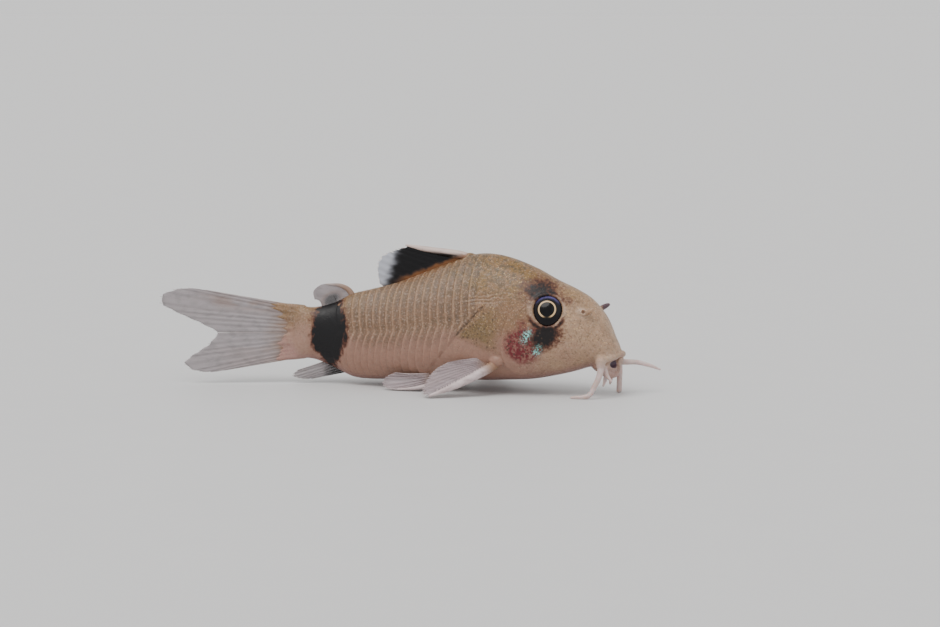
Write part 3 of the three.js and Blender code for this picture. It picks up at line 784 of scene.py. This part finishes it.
# Places on the flank, as behind and height: the oblique seam behind the gill, the smooth shoulder plate that
# it bounds, the markings round the eye and on the cheek, and the black band with its width at some heights
SEAM_TOP, SEAM_FOOT = (13.85, 9.7), (17.07, 6.15)
SHOULDER_FRONT, SHOULDER_LOW = 12.15, 4.46
LATERAL_WRINKLES = (14.0, 10.15)
BROW, UNDER_EYE, CHEEK = (8.25, 11.2), (7.1, 6.6), (9.3, 5.75)
# Painted glints of teal sheen on the cheek, each as centre, half length and half height
GLINTS = (((9.1, 6.55), 0.34, 0.62), ((8.0, 5.0), 0.36, 0.45))
BAND_MIDDLE = 33.15
BAND_HEIGHTS = (2.3, 3.1, 4.2, 5.4, 6.8, 7.8, 8.8)
BAND_WIDTHS = (0.5, 1.2, 1.95, 2.3, 2.15, 1.8, 1.5)

# The markings whose values go beyond 0 to 1, so that noise can move their edges
WIDE_MARKS = {"band": (-1.5, 1.5), "smoke": (-1, 1.2)}


def plate_field(behind, angle):
    """How far along its row a place lies, in plates, how far across the row, and which row."""
    upper = angle > MID_LINE
    top, foot = np.where(upper[:, None], UPPER_ROW, LOWER_ROW).T
    share = (top - angle) / (top - foot)
    inside = (share >= 0) & (share <= 1)
    share = np.clip(share, 0, 1)
    bow = np.where(upper, PLATE_BULGE, LOWER_BULGE) * 4 * share * (1 - share)
    return (behind - bow - PLATES_START) / PITCH, share, inside, upper


def blob(behind, height, centre, half_length, half_height, tilt=0.0):
    """1 at the middle of an oval place, falling to 0 well outside it."""
    a, b = behind - centre[0], height - centre[1]
    along = a * math.cos(tilt) + b * math.sin(tilt)
    across = b * math.cos(tilt) - a * math.sin(tilt)
    return np.exp(-((along / half_length) ** 2) - (across / half_height) ** 2)


def shoulder_field(behind, height):
    """Distance inside the shoulder plate, and from the oblique seam at its rear."""
    slope = (SEAM_FOOT[1] - SEAM_TOP[1]) / (SEAM_FOOT[0] - SEAM_TOP[0])
    ahead = (SEAM_TOP[1] + slope * (behind - SEAM_TOP[0]) - height) / math.hypot(1, slope)
    rise = (SEAM_FOOT[1] - SHOULDER_LOW) / (SEAM_FOOT[0] - SHOULDER_FRONT)
    above = (height - SHOULDER_LOW - rise * (behind - SHOULDER_FRONT)) / math.hypot(1, rise)
    inside = np.minimum.reduce([ahead, above, behind - SHOULDER_FRONT, SEAM_TOP[1] + 0.1 - height])
    return inside, ahead


def skin_fields(points):
    """Where the skin's points lie, how far each is in the forms of the relief, and its lift."""
    f = SimpleNamespace(points=points)
    f.behind, f.side, f.height = unplace(points)
    f.angle = angle_of(f.behind, f.side, f.height)
    f.ragged = cloud(points, 1.6, 3) - 0.5
    f.fine = cloud(points, 0.5, 11) - 0.5
    f.high = smooth(-14, 14, f.angle)
    nape = smooth(22, 55, f.angle) * smooth(8.0, 10.5, f.behind)
    f.nape = nape * smooth(20, 16, f.behind)
    f.lift = raise_plates(f) + raise_gill_covers(f) + raise_eye_rims(f)
    return f


def raise_plates(f):
    """Plates, the smooth shoulder plate with its seam, and the wrinkles behind the gill."""
    f.inside_shoulder, ahead_of_seam = shoulder_field(f.behind, f.height)
    f.shoulder = smooth(-0.3, 0.5, f.inside_shoulder + 0.8 * f.fine)
    along, share, inside, upper = plate_field(f.behind, f.angle)
    f.within = along - np.floor(along)
    front = smooth(-0.4, 0.3, np.where(upper, along, np.minimum(along, -ahead_of_seam * 2)))
    f.plates = front * inside * smooth(PLATES, PLATES - 0.5, along)
    f.plates *= (1 - f.shoulder) * smooth(33.5, 29.5, f.behind)
    edge = smooth(0, 0.13, share) * smooth(0, 0.13, 1 - share)
    saw = f.within - smooth(0.88, 1.0, f.within)
    on_seam = smooth(SEAM_FOOT[1] - 0.2, SEAM_FOOT[1] + 0.3, f.height)
    on_seam *= smooth(SEAM_TOP[1] + 0.2, SEAM_TOP[1] - 0.3, f.height)
    f.groove = bump(ahead_of_seam, 0, 0.13) * on_seam
    f.wrinkled = blob(f.behind, f.height, LATERAL_WRINKLES, 2.0, 0.55, -0.1)
    f.ridges = np.sin(2 * np.pi * (f.height + 0.12 * f.behind + 0.5 * f.fine) / 0.42)
    lift = PLATE_STEP * f.plates * edge * saw + PLATE_STEP * 0.45 * f.shoulder
    return lift - 0.12 * f.groove + 0.03 * f.wrinkled * f.ridges


def raise_gill_covers(f):
    past = (f.behind - GILL_COVER["behind"]) / GILL_COVER["length"]
    across = (f.angle - GILL_COVER["angle"]) / GILL_COVER["angles"]
    sharp = np.where(past > 0, 0.05, 0.5)
    cover = smooth(0, 1, np.clip((1 - np.hypot(past, across)) / sharp + 0.5, 0, 1))
    return GILL_COVER["rise"] * cover * smooth(-1.1, 0.2, past)


def raise_eye_rims(f):
    f.rim = np.zeros(len(f.points))
    f.orbit = np.full(len(f.points), 9.0)
    for side in (RIGHT, LEFT):
        centre, normal = eye_centre(side)
        off_axis = np.linalg.norm(np.cross(f.points - centre, normal), axis=1)
        near = (np.where(f.side < 0, RIGHT, LEFT) == side) & (np.abs(f.behind - EYE["behind"]) < 4)
        f.rim = np.where(near, bump(off_axis, EYE["radius"] + 0.12, 0.2), f.rim)
        f.orbit = np.where(near, off_axis, f.orbit)
    return 0.12 * f.rim


def lift_off(f):
    """How far points stand off the plain body, in shares of its width."""
    belly, back, widest = section(f.behind)
    half = np.maximum(station(HALF_WIDTH, f.behind), 0.3)
    reach = np.maximum(np.where(f.height > widest, back - widest, widest - belly), 0.3)
    return np.hypot(f.side / half, (f.height - widest) / reach) - 0.9


def flank_marks(f):
    """Tints of the body, the belly's partly as painted shade, marks on its plates with painted shade in the
    troughs of the wrinkles, and the black band on the tail stem.
    """
    low = smooth(1.0, -1.4, f.height - section(f.behind)[2] - 0.8 + 1.6 * f.ragged)
    crown = smooth(25, 60, f.angle) * smooth(1.5, 5, f.behind)
    ridge = smooth(60, 84, f.angle) * smooth(17.4, 18.5, f.behind) * smooth(26.5, 24.5, f.behind)
    stripe = f.plates * smooth(0.02, 0.2, f.within) * smooth(0.78, 0.5, f.within)
    seams = f.plates * (bump(f.within, 0.0, 0.08) + bump(f.within, 1.0, 0.06)) * (0.12 + 0.4 * f.high)
    width = np.interp(f.height, BAND_HEIGHTS, BAND_WIDTHS)
    band = (width - np.abs(f.behind - BAND_MIDDLE)) * 1.1 + 0.8 * f.ragged
    return {
        "low": low,
        "fleck": 1 - 0.75 * low * smooth(8.5, 11.5, f.behind),
        # The belly's pink, partly darkened as painted shade under the body
        "belly": smooth(-40, -75, f.angle),
        "gilt": 0.9 * f.nape + 0.6 * crown,
        "olive": 0.85 * smooth(-0.3, 1.1, f.inside_shoulder + 1.2 * f.ragged + 0.6 * f.fine),
        "stripe": 0.65 * stripe * f.high * (1 + f.ragged),
        "mottle": 0.10 + 0.10 * f.high + 0.55 * f.nape,
        # Dark joints of the plates and the groove, and painted shade in the troughs between the wrinkles
        "seam": seams + f.groove + 0.3 * f.wrinkled * smooth(0, 0.8, -f.ridges),
        "gold": 0.55 * smooth(-25, 15, f.angle) * smooth(20, 14, f.behind),
        "rust": 0.9 * ridge,
        "specks": 0.65 * smooth(-45, 10, f.angle) + 0.3 * f.nape,
        "band": band - 0.9 * smooth(7.9, 8.8, f.height) * smooth(0.0, 0.12, f.fine),
    }


def pale_marks_and_wrinkle_highlights(f):
    """Margins of plates, painted highlights on the tops of wrinkles, nostrils, rims of the eyes, lips and
    the root of the tail.
    """
    margin = f.plates * smooth(0.62, 0.8, f.within) * smooth(1.0, 0.93, f.within)
    off_nostril = np.hypot(f.behind - NOSTRIL["behind"], (f.angle - NOSTRIL["angle"]) / 14)
    lips = np.exp(-(((f.behind - 0.6) / 1.5) ** 2) - ((f.height - 3.6) / 1.3) ** 2)
    # Painted highlight on the tops of the wrinkles behind the gill
    pale = 0.2 * margin * f.high + 0.25 * f.wrinkled * smooth(0, 0.8, f.ridges)
    pale += 0.9 * bump(off_nostril, 0, 0.5) + 0.35 * f.rim + 0.5 * lips
    return np.clip(pale + 0.15 * smooth(35.2, 36.2, f.behind), 0, 1)


def mask(f):
    """The black round the eye: over it, under it, hugging its rim and as a haze above."""
    brow = blob(f.behind, f.height, BROW, 2.2, 1.35, 0.3)
    under = 1.15 * blob(f.behind, f.height, UNDER_EYE, 1.75, 1.45, -0.5)
    hug = bump(f.orbit, EYE["radius"] + 0.3, 0.32) * smooth(9.3, 8.0, f.height)
    hug = 0.8 * hug * smooth(4.6, 5.6, f.behind)
    haze = 0.42 * bump(f.orbit, EYE["radius"] + 0.4, 1.0) * smooth(8.6, 10.2, f.height)
    dark = 1.5 * np.maximum.reduce([brow, under, hug, haze]) + 0.5 * f.ragged - 0.35
    return np.where(f.behind < 12.5, dark, -1)


def sleeves(points):
    """Places near the covered roots of the barbels, most at their outer ends."""
    total = np.zeros(len(points))
    for path, radii in BARBELS.values():
        root = barbel_root(path)
        for k, centre in enumerate(root[1:], 1):
            near = bump(distance(points, centre), 0, 1.6 * radii[0])
            total = np.maximum(total, near * smooth(0, 0.7, k / len(root)))
    return total


def face_marks(f):
    """Colours of snout and cheek, the mask, the glints, the mouth's inside and the barbels' roots."""
    cheek = blob(f.behind, f.height, CHEEK, 2.3, 1.9, -0.6)
    blush = smooth(0.2, 0.6, cheek + 0.5 * f.ragged + 0.3 * f.fine)
    slit = np.linalg.norm((f.points - place(*MOUTH_SLIT[0])) / MOUTH_SLIT[1], axis=1)
    tip = distance(f.points, nostril_flap(LEFT)[0])
    flap = smooth(0.1, 0.5, bump(tip, 0, 0.9)) * smooth(0.12, 0.3, lift_off(f))
    return {
        "snout": smooth(9.5, 6.0, f.behind + 1.5 * f.ragged),
        "blush": blush,
        "dots": 0.9 * blush + 0.65 * f.shoulder + 0.3 * f.nape,
        # Pale marks, with painted highlights on the tops of the wrinkles
        "pale": pale_marks_and_wrinkle_highlights(f),
        # Painted glints of sheen on the cheek
        "cheek_glint_sheen": sum(blob(f.behind, f.height, centre, *halves, 0.5) for centre, *halves in GLINTS),
        "smoke": mask(f),
        "mouth": np.maximum(smooth(1.08, 0.98, slit), 0.9 * flap),
        "sleeve": 1.3 * sleeves(f.points),
    }


def dress_skin(mesh):
    """Raises plates, gill covers and rims on the skin, and writes where each marking lies."""
    fields = skin_fields(vectors(mesh.vertices, "co"))
    set_points(mesh, fields.points + vectors(mesh.vertex_normals, "vector") * fields.lift[:, None])
    for name, values in (flank_marks(fields) | face_marks(fields)).items():
        mark(mesh, name, np.clip(values, *WIDE_MARKS.get(name, (0, 1))))


# Fins. Edges are kept as this many points; rays and their forks have radii as shares of a ray's own
EDGE_POINTS = 200
RAY_TAPER = np.array([1.0, 0.85, 0.6, 0.4, 0.22])
FORK_TAPER = np.array([0.42, 0.3, 0.18])
FORK_START = 0.72
FORK_SPREAD = 0.24
RAY_JOINTS = 14
NO_MARKS = {"soot": 0.0, "pale": 0.0, "rust": 0.0, "flesh": 0.0}


class Fin:
    """A fin's surface between a line of roots and a line of tips."""

    def __init__(self, roots, tips, sag=(0, 0, 0)):
        self.roots = spline(roots, EDGE_POINTS)
        self.tips = spline(tips, EDGE_POINTS)
        self.sag = np.array(sag)
        across = self.roots[-1] - self.roots[0] + self.tips[-1] - self.tips[0]
        self.normal = unit(np.cross(across, self.tips.mean(0) - self.roots.mean(0)))

    def at(self, u, v):
        """Points at shares u across the fin and v from root to tip, bowed by the fin's sag."""
        u, v = np.broadcast_arrays(np.asarray(u, float), np.asarray(v, float))
        grid = np.linspace(0, 1, EDGE_POINTS)
        root, tip = along(u, grid, self.roots), along(u, grid, self.tips)
        v = v[..., None]
        return root + (tip - root) * v + self.sag * 4 * v * (1 - v)


def membrane(fin, rays, notch, seed, pleat):
    """A thin closed sheet, with its rear margin scalloped between the rays."""
    rows = 40
    columns = rays * 10 + 1
    draw = np.random.default_rng(seed)
    u = np.linspace(0, 1, columns)
    phase = u * (rays - 1)
    dip = np.abs(np.sin(np.pi * phase)) ** 0.8
    uneven = 0.7 + 0.6 * np.interp(u, np.linspace(0, 1, rays * 2), draw.random(rays * 2))
    end = 1 - notch * dip * uneven
    v = np.linspace(0, 1, rows + 1)[:, None] * end[None, :]
    middle = fin.at(np.broadcast_to(u, v.shape), v)
    wave = pleat * np.cos(2 * np.pi * phase)[None, :] * smooth(0.0, 0.3, v)
    middle = middle + wave[..., None] * fin.normal
    half = (0.13 - 0.09 * v)[..., None] * fin.normal
    rings = np.concatenate([middle + half, (middle - half)[:, ::-1]], axis=1)
    verts, faces = loft(rings)
    del faces[-2:]
    count = 2 * columns
    for start in (0, rows * count):
        ladder = [
            [start + k, start + k + 1, start + count - 2 - k, start + count - 1 - k]
            for k in range(columns - 1)
        ]
        faces += ladder if start else [face[::-1] for face in ladder]
    return verts, faces


def ray_rods(fin, rays, radius, first, seed):
    """Jointed rays that fork twice towards the margin. The ray at the leading edge is single."""
    draw = np.random.default_rng(seed)
    step = FORK_SPREAD / (rays - 1)
    parts = []
    for k in range(first, rays):
        u = k / (rays - 1)
        length = 1.0 + 0.01 * draw.random()
        joints = draw.uniform(0, 1)
        split = draw.uniform(0.42, 0.52)

        def wave(s, joints=joints):
            return 1 + 0.16 * np.abs(np.sin(np.pi * (s * RAY_JOINTS + joints))) ** 3

        for way in [-1, 1] if k else [0]:
            v = np.linspace(0.0, length, 26)
            lean = way * step * smooth(split, 1.0, v)
            parts.append(rod(fin.at(np.clip(u + lean, 0, 1), v), radius * RAY_TAPER, 7, 64, wave))
            if way:
                v = np.linspace(FORK_START, length * 0.985, 10)
                lean = way * step * smooth(split, 1.0, v) + way * 0.5 * step * smooth(FORK_START, 1.0, v)
                parts.append(rod(fin.at(np.clip(u + lean, 0, 1), v), radius * FORK_TAPER, 6, 16))
    return parts


def serrated_spine(path, radii, rear):
    """A stout spine with a row of fine teeth along its rear edge and rings along its length."""
    parts = [rod(path, radii, 16, 120, lambda s: 1 + 0.035 * np.sin(2 * np.pi * 26 * s))]
    line = spline(path, 60)
    toward, lean = unit(rear), unit(line[-1] - line[0])
    for s in np.linspace(0.2, 0.9, 20):
        radius = np.interp(s, np.linspace(0, 1, len(radii)), radii)
        start = line[int(s * 59)] + toward * radius * 0.8
        tooth = [start, start + toward * 0.08 - lean * 0.05, start + toward * 0.2 - lean * 0.16]
        parts.append(rod(tooth, [0.07, 0.05, 0.012], 6, 6))
    return joined(parts)


def fin_pieces(node, fin, rays, radius, materials, spine, paint, seed, notch=0.04, pleat=0.05):
    """The membrane and the rays of one fin, which together stand for its solid."""
    bones = ray_rods(fin, rays, radius, 0 if spine is None else 1, seed + 40)
    if spine is not None:
        bones.append(spine)
    for suffix, (verts, faces), material in (
        ("web", membrane(fin, rays, notch, seed, pleat), materials[0]),
        ("rays", joined(bones), materials[1]),
    ):
        made = piece(f"{node}_{suffix}", verts, faces)
        for name, values in (NO_MARKS | paint(verts, suffix == "rays")).items():
            mark(made.data, name, np.broadcast_to(values, len(verts)))
        made.data.materials.append(material)
        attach(made, "root")
        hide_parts(node)


# Markings of the fins, for the points of a membrane or of its rays
def dorsal_paint(verts, rays):
    behind = unplace(verts)[0]
    over = verts[:, 2] - station(BACK, behind)
    rust = smooth(0.7, 0.2, over + 0.7 * (cloud(verts, 0.6, 21) - 0.5)) * smooth(27, 24, behind)
    if rays:
        dark = smooth(14.9, 14.7, verts[:, 2] - 0.05 * (behind - 21))
        return {"soot": 0.99 * dark * (1 - rust) * smooth(27.0, 25.6, behind), "rust": 0.8 * rust}
    lean = behind + 0.35 * (verts[:, 2] - 13.0)
    rear = smooth(25.4, 26.9, lean + 1.2 * (cloud(verts * [0.35, 1, 1], 0.5, 22) - 0.5))
    return {"soot": 0.97 * (1 - rear) * (1 - 0.9 * rust), "pale": 0.85 * rear, "rust": 0.9 * rust}


def caudal_paint(upper):
    def paint(verts, rays):
        behind = unplace(verts)[0]
        ragged = 2.4 * (cloud(verts * [0.4, 1, 1.6], 0.8, 31) - 0.5)
        if upper:
            line = bump(verts[:, 2], 8.1 + 0.13 * (behind - 37), 0.7) * smooth(38, 41, behind)
            blushed = line * smooth(49, 45, behind) * smooth(-0.5, 0.4, ragged)
        else:
            blushed = 0.35 * smooth(47, 42, behind) * (verts[:, 2] < 4)
        flesh = smooth(41.0, 37.0, behind + ragged)
        return {"flesh": flesh, "pale": 0.1 + 0.15 * rays, "rust": 0.4 * blushed}

    return paint


def adipose_paint(verts, rays):
    behind = unplace(verts)[0]
    over = verts[:, 2] - station(BACK, behind)
    dark = bump(behind, 33.1, 1.0) * bump(over, 0.4, 0.75)
    if rays:
        return {"flesh": 0.85 * smooth(33.2, 31.4, behind), "soot": 0.5 * smooth(0.3, 0.9, dark)}
    return {"soot": 0.85 * smooth(0.15, 0.8, dark), "rust": 0.3 * bump(dark, 0.35, 0.2)}


def anal_paint(verts, rays):
    ragged = cloud(verts, 0.5, 41) - 0.5
    return {"soot": 0.85 * smooth(34.6, 32.8, unplace(verts)[0] + ragged), "pale": 0.15}


def paired_paint(root):
    def paint(verts, rays):
        away = distance(verts, root)
        return {"flesh": smooth(2.6, 0.8, away), "pale": 0.0 if rays else 0.1}

    return paint


def root_line(column, inward, first, last, count):
    """Roots in a row along the back or the belly, a little inside the skin."""
    return [place(b, 0, station(column, b) + inward) for b in np.linspace(first, last, count)]


def on_middle(*path):
    """Places on the middle of the fish, from pairs of behind and height."""
    return [place(behind, 0, height) for behind, height in path]


def beside(side, *path):
    """Places on one side of the fish, from behind, distance outward and height."""
    return [place(behind, side * out, height) for behind, out, height in path]


def middle_fins(web, rays, dark_web, dark_rays):
    roots = root_line(BACK, -0.5, 17.3, 26.7, 8)
    tips = on_middle((24.5, 15.35), (26.2, 14.75), (27.5, 14.1), (27.95, 12.9), (27.7, 11.2))
    path = on_middle((17.2, 14.2), (18.0, 14.55), (21.1, 14.9), (24.6, 15.45))
    spine = rod(path, [0.42, 0.46, 0.34, 0.1], 14, 90)
    looks = (dark_web, dark_rays)
    fin_pieces("dorsal_fin", Fin(roots, tips), 9, 0.09, looks, spine, dorsal_paint, 2, pleat=0.02)

    looks = (web, rays)
    roots = root_line(BACK, -0.5, 30.9, 34.2, 5)
    tips = on_middle((32.2, 10.85), (33.3, 11.0), (34.3, 10.9), (35.1, 10.2), (35.0, 9.3))
    fin = Fin(roots, tips, (0.25, 0.1, 0.3))
    path = on_middle((30.6, 9.4), (31.2, 10.35), (32.2, 10.85), (33.7, 10.98))
    spine = rod(path, [0.38, 0.3, 0.2, 0.07], 10, 40)
    fin_pieces("adipose_fin", fin, 3, 0.04, looks, spine, adipose_paint, 3, 0.0, 0.0)

    roots = root_line(BELLY, 0.45, 31.1, 33.4, 5)
    fin = Fin(roots, on_middle((35.4, 0.45), (36.6, 0.5), (37.5, 0.85), (36.9, 1.45)))
    fin_pieces("anal_fin", fin, 7, 0.08, looks, None, anal_paint, 4)

    upper = [(46.8, 10.35), (49.0, 10.6), (51.0, 10.3), (52.1, 9.5), (51.8, 8.8), (50.3, 7.95), (47.7, 6.75)]
    lower = [(44.9, 1.45), (46.7, 1.25), (48.5, 1.5), (49.4, 2.2), (48.9, 2.9), (47.8, 3.6), (46.7, 4.4)]
    for node, edge, inner, outline, seed in (
        ("caudal_fin_upper", 8.45, TAIL_MIDDLE - 0.02, upper, 7),
        ("caudal_fin_lower", 2.95, TAIL_MIDDLE - 0.08, lower, 8),
    ):
        roots = on_middle(*((LENGTH - 0.1, height) for height in np.linspace(edge, inner, 6)))
        fin = Fin(roots, on_middle(*outline, (45.7, inner)))
        paint = caudal_paint(outline is upper)
        fin_pieces(node, fin, 9, 0.075, looks, None, paint, seed, 0.02, 0.03)


def paired_fins(*looks):
    for name, side in SIDES.items():
        roots = beside(side, (12.75, 3.9, 3.25), (13.2, 4.0, 3.6), (13.6, 4.05, 3.95))
        tips = beside(side, (18.7, 9.2, 0.2), (19.3, 8.6, 0.6), (19.3, 7.4, 1.7), (18.6, 6.5, 2.8))
        tips += beside(side, (17.5, 5.9, 3.5))
        path = beside(side, (12.2, 3.3, 3.8), (13.4, 5.0, 2.8), (15.9, 7.2, 1.35), (18.3, 9.0, 0.3))
        spine = serrated_spine(path, [0.55, 0.48, 0.38, 0.14], np.array([-0.2, 0.0, 0.55]))
        paint = paired_paint(*beside(side, (12.6, 4.0, 3.5)))
        fin = Fin(roots, tips, (0, 0, 0.12))
        fin_pieces(f"pectoral_fin_{name}", fin, 10, 0.10, looks, spine, paint, 8)
    for name, side in SIDES.items():
        roots = beside(side, (19.2, 3.1, 1.35), (19.7, 3.2, 1.6), (20.2, 3.3, 1.95))
        tips = beside(side, (23.6, 4.75, 0.15), (25.0, 4.65, 0.25), (25.8, 4.3, 0.75), (25.4, 4.15, 1.4))
        tips += beside(side, (24.2, 4.25, 1.95))
        path = beside(side, (19.1, 3.0, 1.3), (21.2, 4.25, 0.5), (23.7, 4.75, 0.2))
        spine = rod(path, [0.32, 0.22, 0.08], 10, 60)
        paint = paired_paint(*beside(side, (19.0, 3.2, 1.6)))
        fin = Fin(roots, tips, (0, side * 0.18, -0.12))
        fin_pieces(f"pelvic_fin_{name}", fin, 7, 0.11, looks, spine, paint, 9)


def all_fins():
    made = [fin_material(name, *look) for name, look in FIN_LOOKS.items()]
    smoky, clear, soft, bone, black, dusky = made
    middle_fins(smoky, soft, black, dusky)
    paired_fins(clear, bone)


def barbels():
    material = barbel_material()
    for node, (path, radii) in BARBELS.items():
        line = [place(*point) for point in path]
        verts, faces = rod(line, radii, 18, 90)
        verts[:, 2] = np.maximum(verts[:, 2], 0.0)
        made = piece(node + "_skin", verts, faces)
        made.data.materials.append(material)
        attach(made, "root")
        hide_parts(node)


# Distances from the eye's axis: how far out the gold ring has a gap, and the crescent of painted purple
# sheen along the eye's top, with its width
RING_GAP = 1.2
SHEEN_CRESCENT, SHEEN_CRESCENT_WIDTH = 1.45, 0.16


def eyes():
    material = eye_material()
    for name, side in SIDES.items():
        centre, normal = eye_centre(side)
        verts, faces = disc(centre, normal, EYE["radius"], EYE["depth"], 96, 64)
        made = piece(f"eyeball_{name}", verts, faces)
        away = verts - centre
        flat = away - np.outer(away @ normal, normal)
        out = distance(flat, 0)
        up = flat[:, 2] / np.maximum(out, 1e-6)
        mark(made.data, "radius", out / EYE["radius"])
        mark(made.data, "closed", smooth(-0.75, -0.95, up) * (out < RING_GAP))
        # Painted sheen along the top of the eye, as a thin purple crescent
        mark(made.data, "eye_top_sheen", 0.7 * smooth(0.3, 0.9, up) * bump(out, SHEEN_CRESCENT, SHEEN_CRESCENT_WIDTH))
        made.data.materials.append(material)
        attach(made, "root")
        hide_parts(f"eye_{name}")


# Stage, lights and camera
AZIMUTH = 20.8
ELEVATION = 6.2
DISTANCE = 300.0
LENS = 105.8
AIM = (17.13, 0.0, 8.22)
FLOOR_REACH = 60.0
FLOOR = (0.62, 0.622, 0.625)
ROOM = (0.95, 0.945, 0.94)


def direction(azimuth, elevation):
    """The way from the fish, in degrees round from its right side towards its head, and in degrees up."""
    a, e = math.radians(azimuth), math.radians(elevation)
    return Vector((math.sin(a) * math.cos(e), -math.cos(a) * math.cos(e), math.sin(e)))


def stage():
    mesh = bpy.data.meshes.new("floor")
    corners = [(FLOOR_REACH * x, FLOOR_REACH * y, 0) for x, y in ((-1, -1), (1, -1), (1, 1), (-1, 1))]
    mesh.from_pydata(corners, [], [(0, 1, 2, 3)])
    floor = linked("floor", mesh)
    n = Nodes("pale_floor")
    tone = n.layered(FLOOR, [([c * 0.97 for c in FLOOR], n.noise(6.0, 3))])
    mesh.materials.append(n.finish(Base_Color=tone, Roughness=0.55, Specular_IOR_Level=0.25))
    world = bpy.data.worlds.new("soft_room")
    world.use_nodes = True
    background = world.node_tree.nodes["Background"]
    background.inputs["Color"].default_value = (*ROOM, 1)
    background.inputs["Strength"].default_value = 1.0
    bpy.context.scene.world = world


def lamp(name, azimuth, elevation, wide, power, colour):
    light = bpy.data.lights.new(name, "SUN")
    light.angle = math.radians(wide)
    light.energy = power
    light.color = colour
    made = linked(name, light)
    made.rotation_euler = direction(azimuth, elevation).to_track_quat("Z", "Y").to_euler()


def camera():
    data = bpy.data.cameras.new("camera")
    data.lens = LENS
    data.clip_start = 0.005
    made = linked("camera", data)
    toward = direction(AZIMUTH, ELEVATION)
    made.location = Vector(place(*AIM) * MM + OFFSET) + toward * DISTANCE * MM
    made.rotation_euler = toward.to_track_quat("Z", "Y").to_euler()
    bpy.context.scene.camera = made


camera()
stage()
lamp("key", -20, 62, 40, 2.0, (1.0, 0.975, 0.95))
lamp("fill", 70, 30, 60, 0.35, (0.95, 0.97, 1.0))

body = skin_piece()
body.data.materials.append(skin_material())
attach(body, "root")
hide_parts("head", "trunk", "tail_stem")
eyes()
barbels()
all_fins()
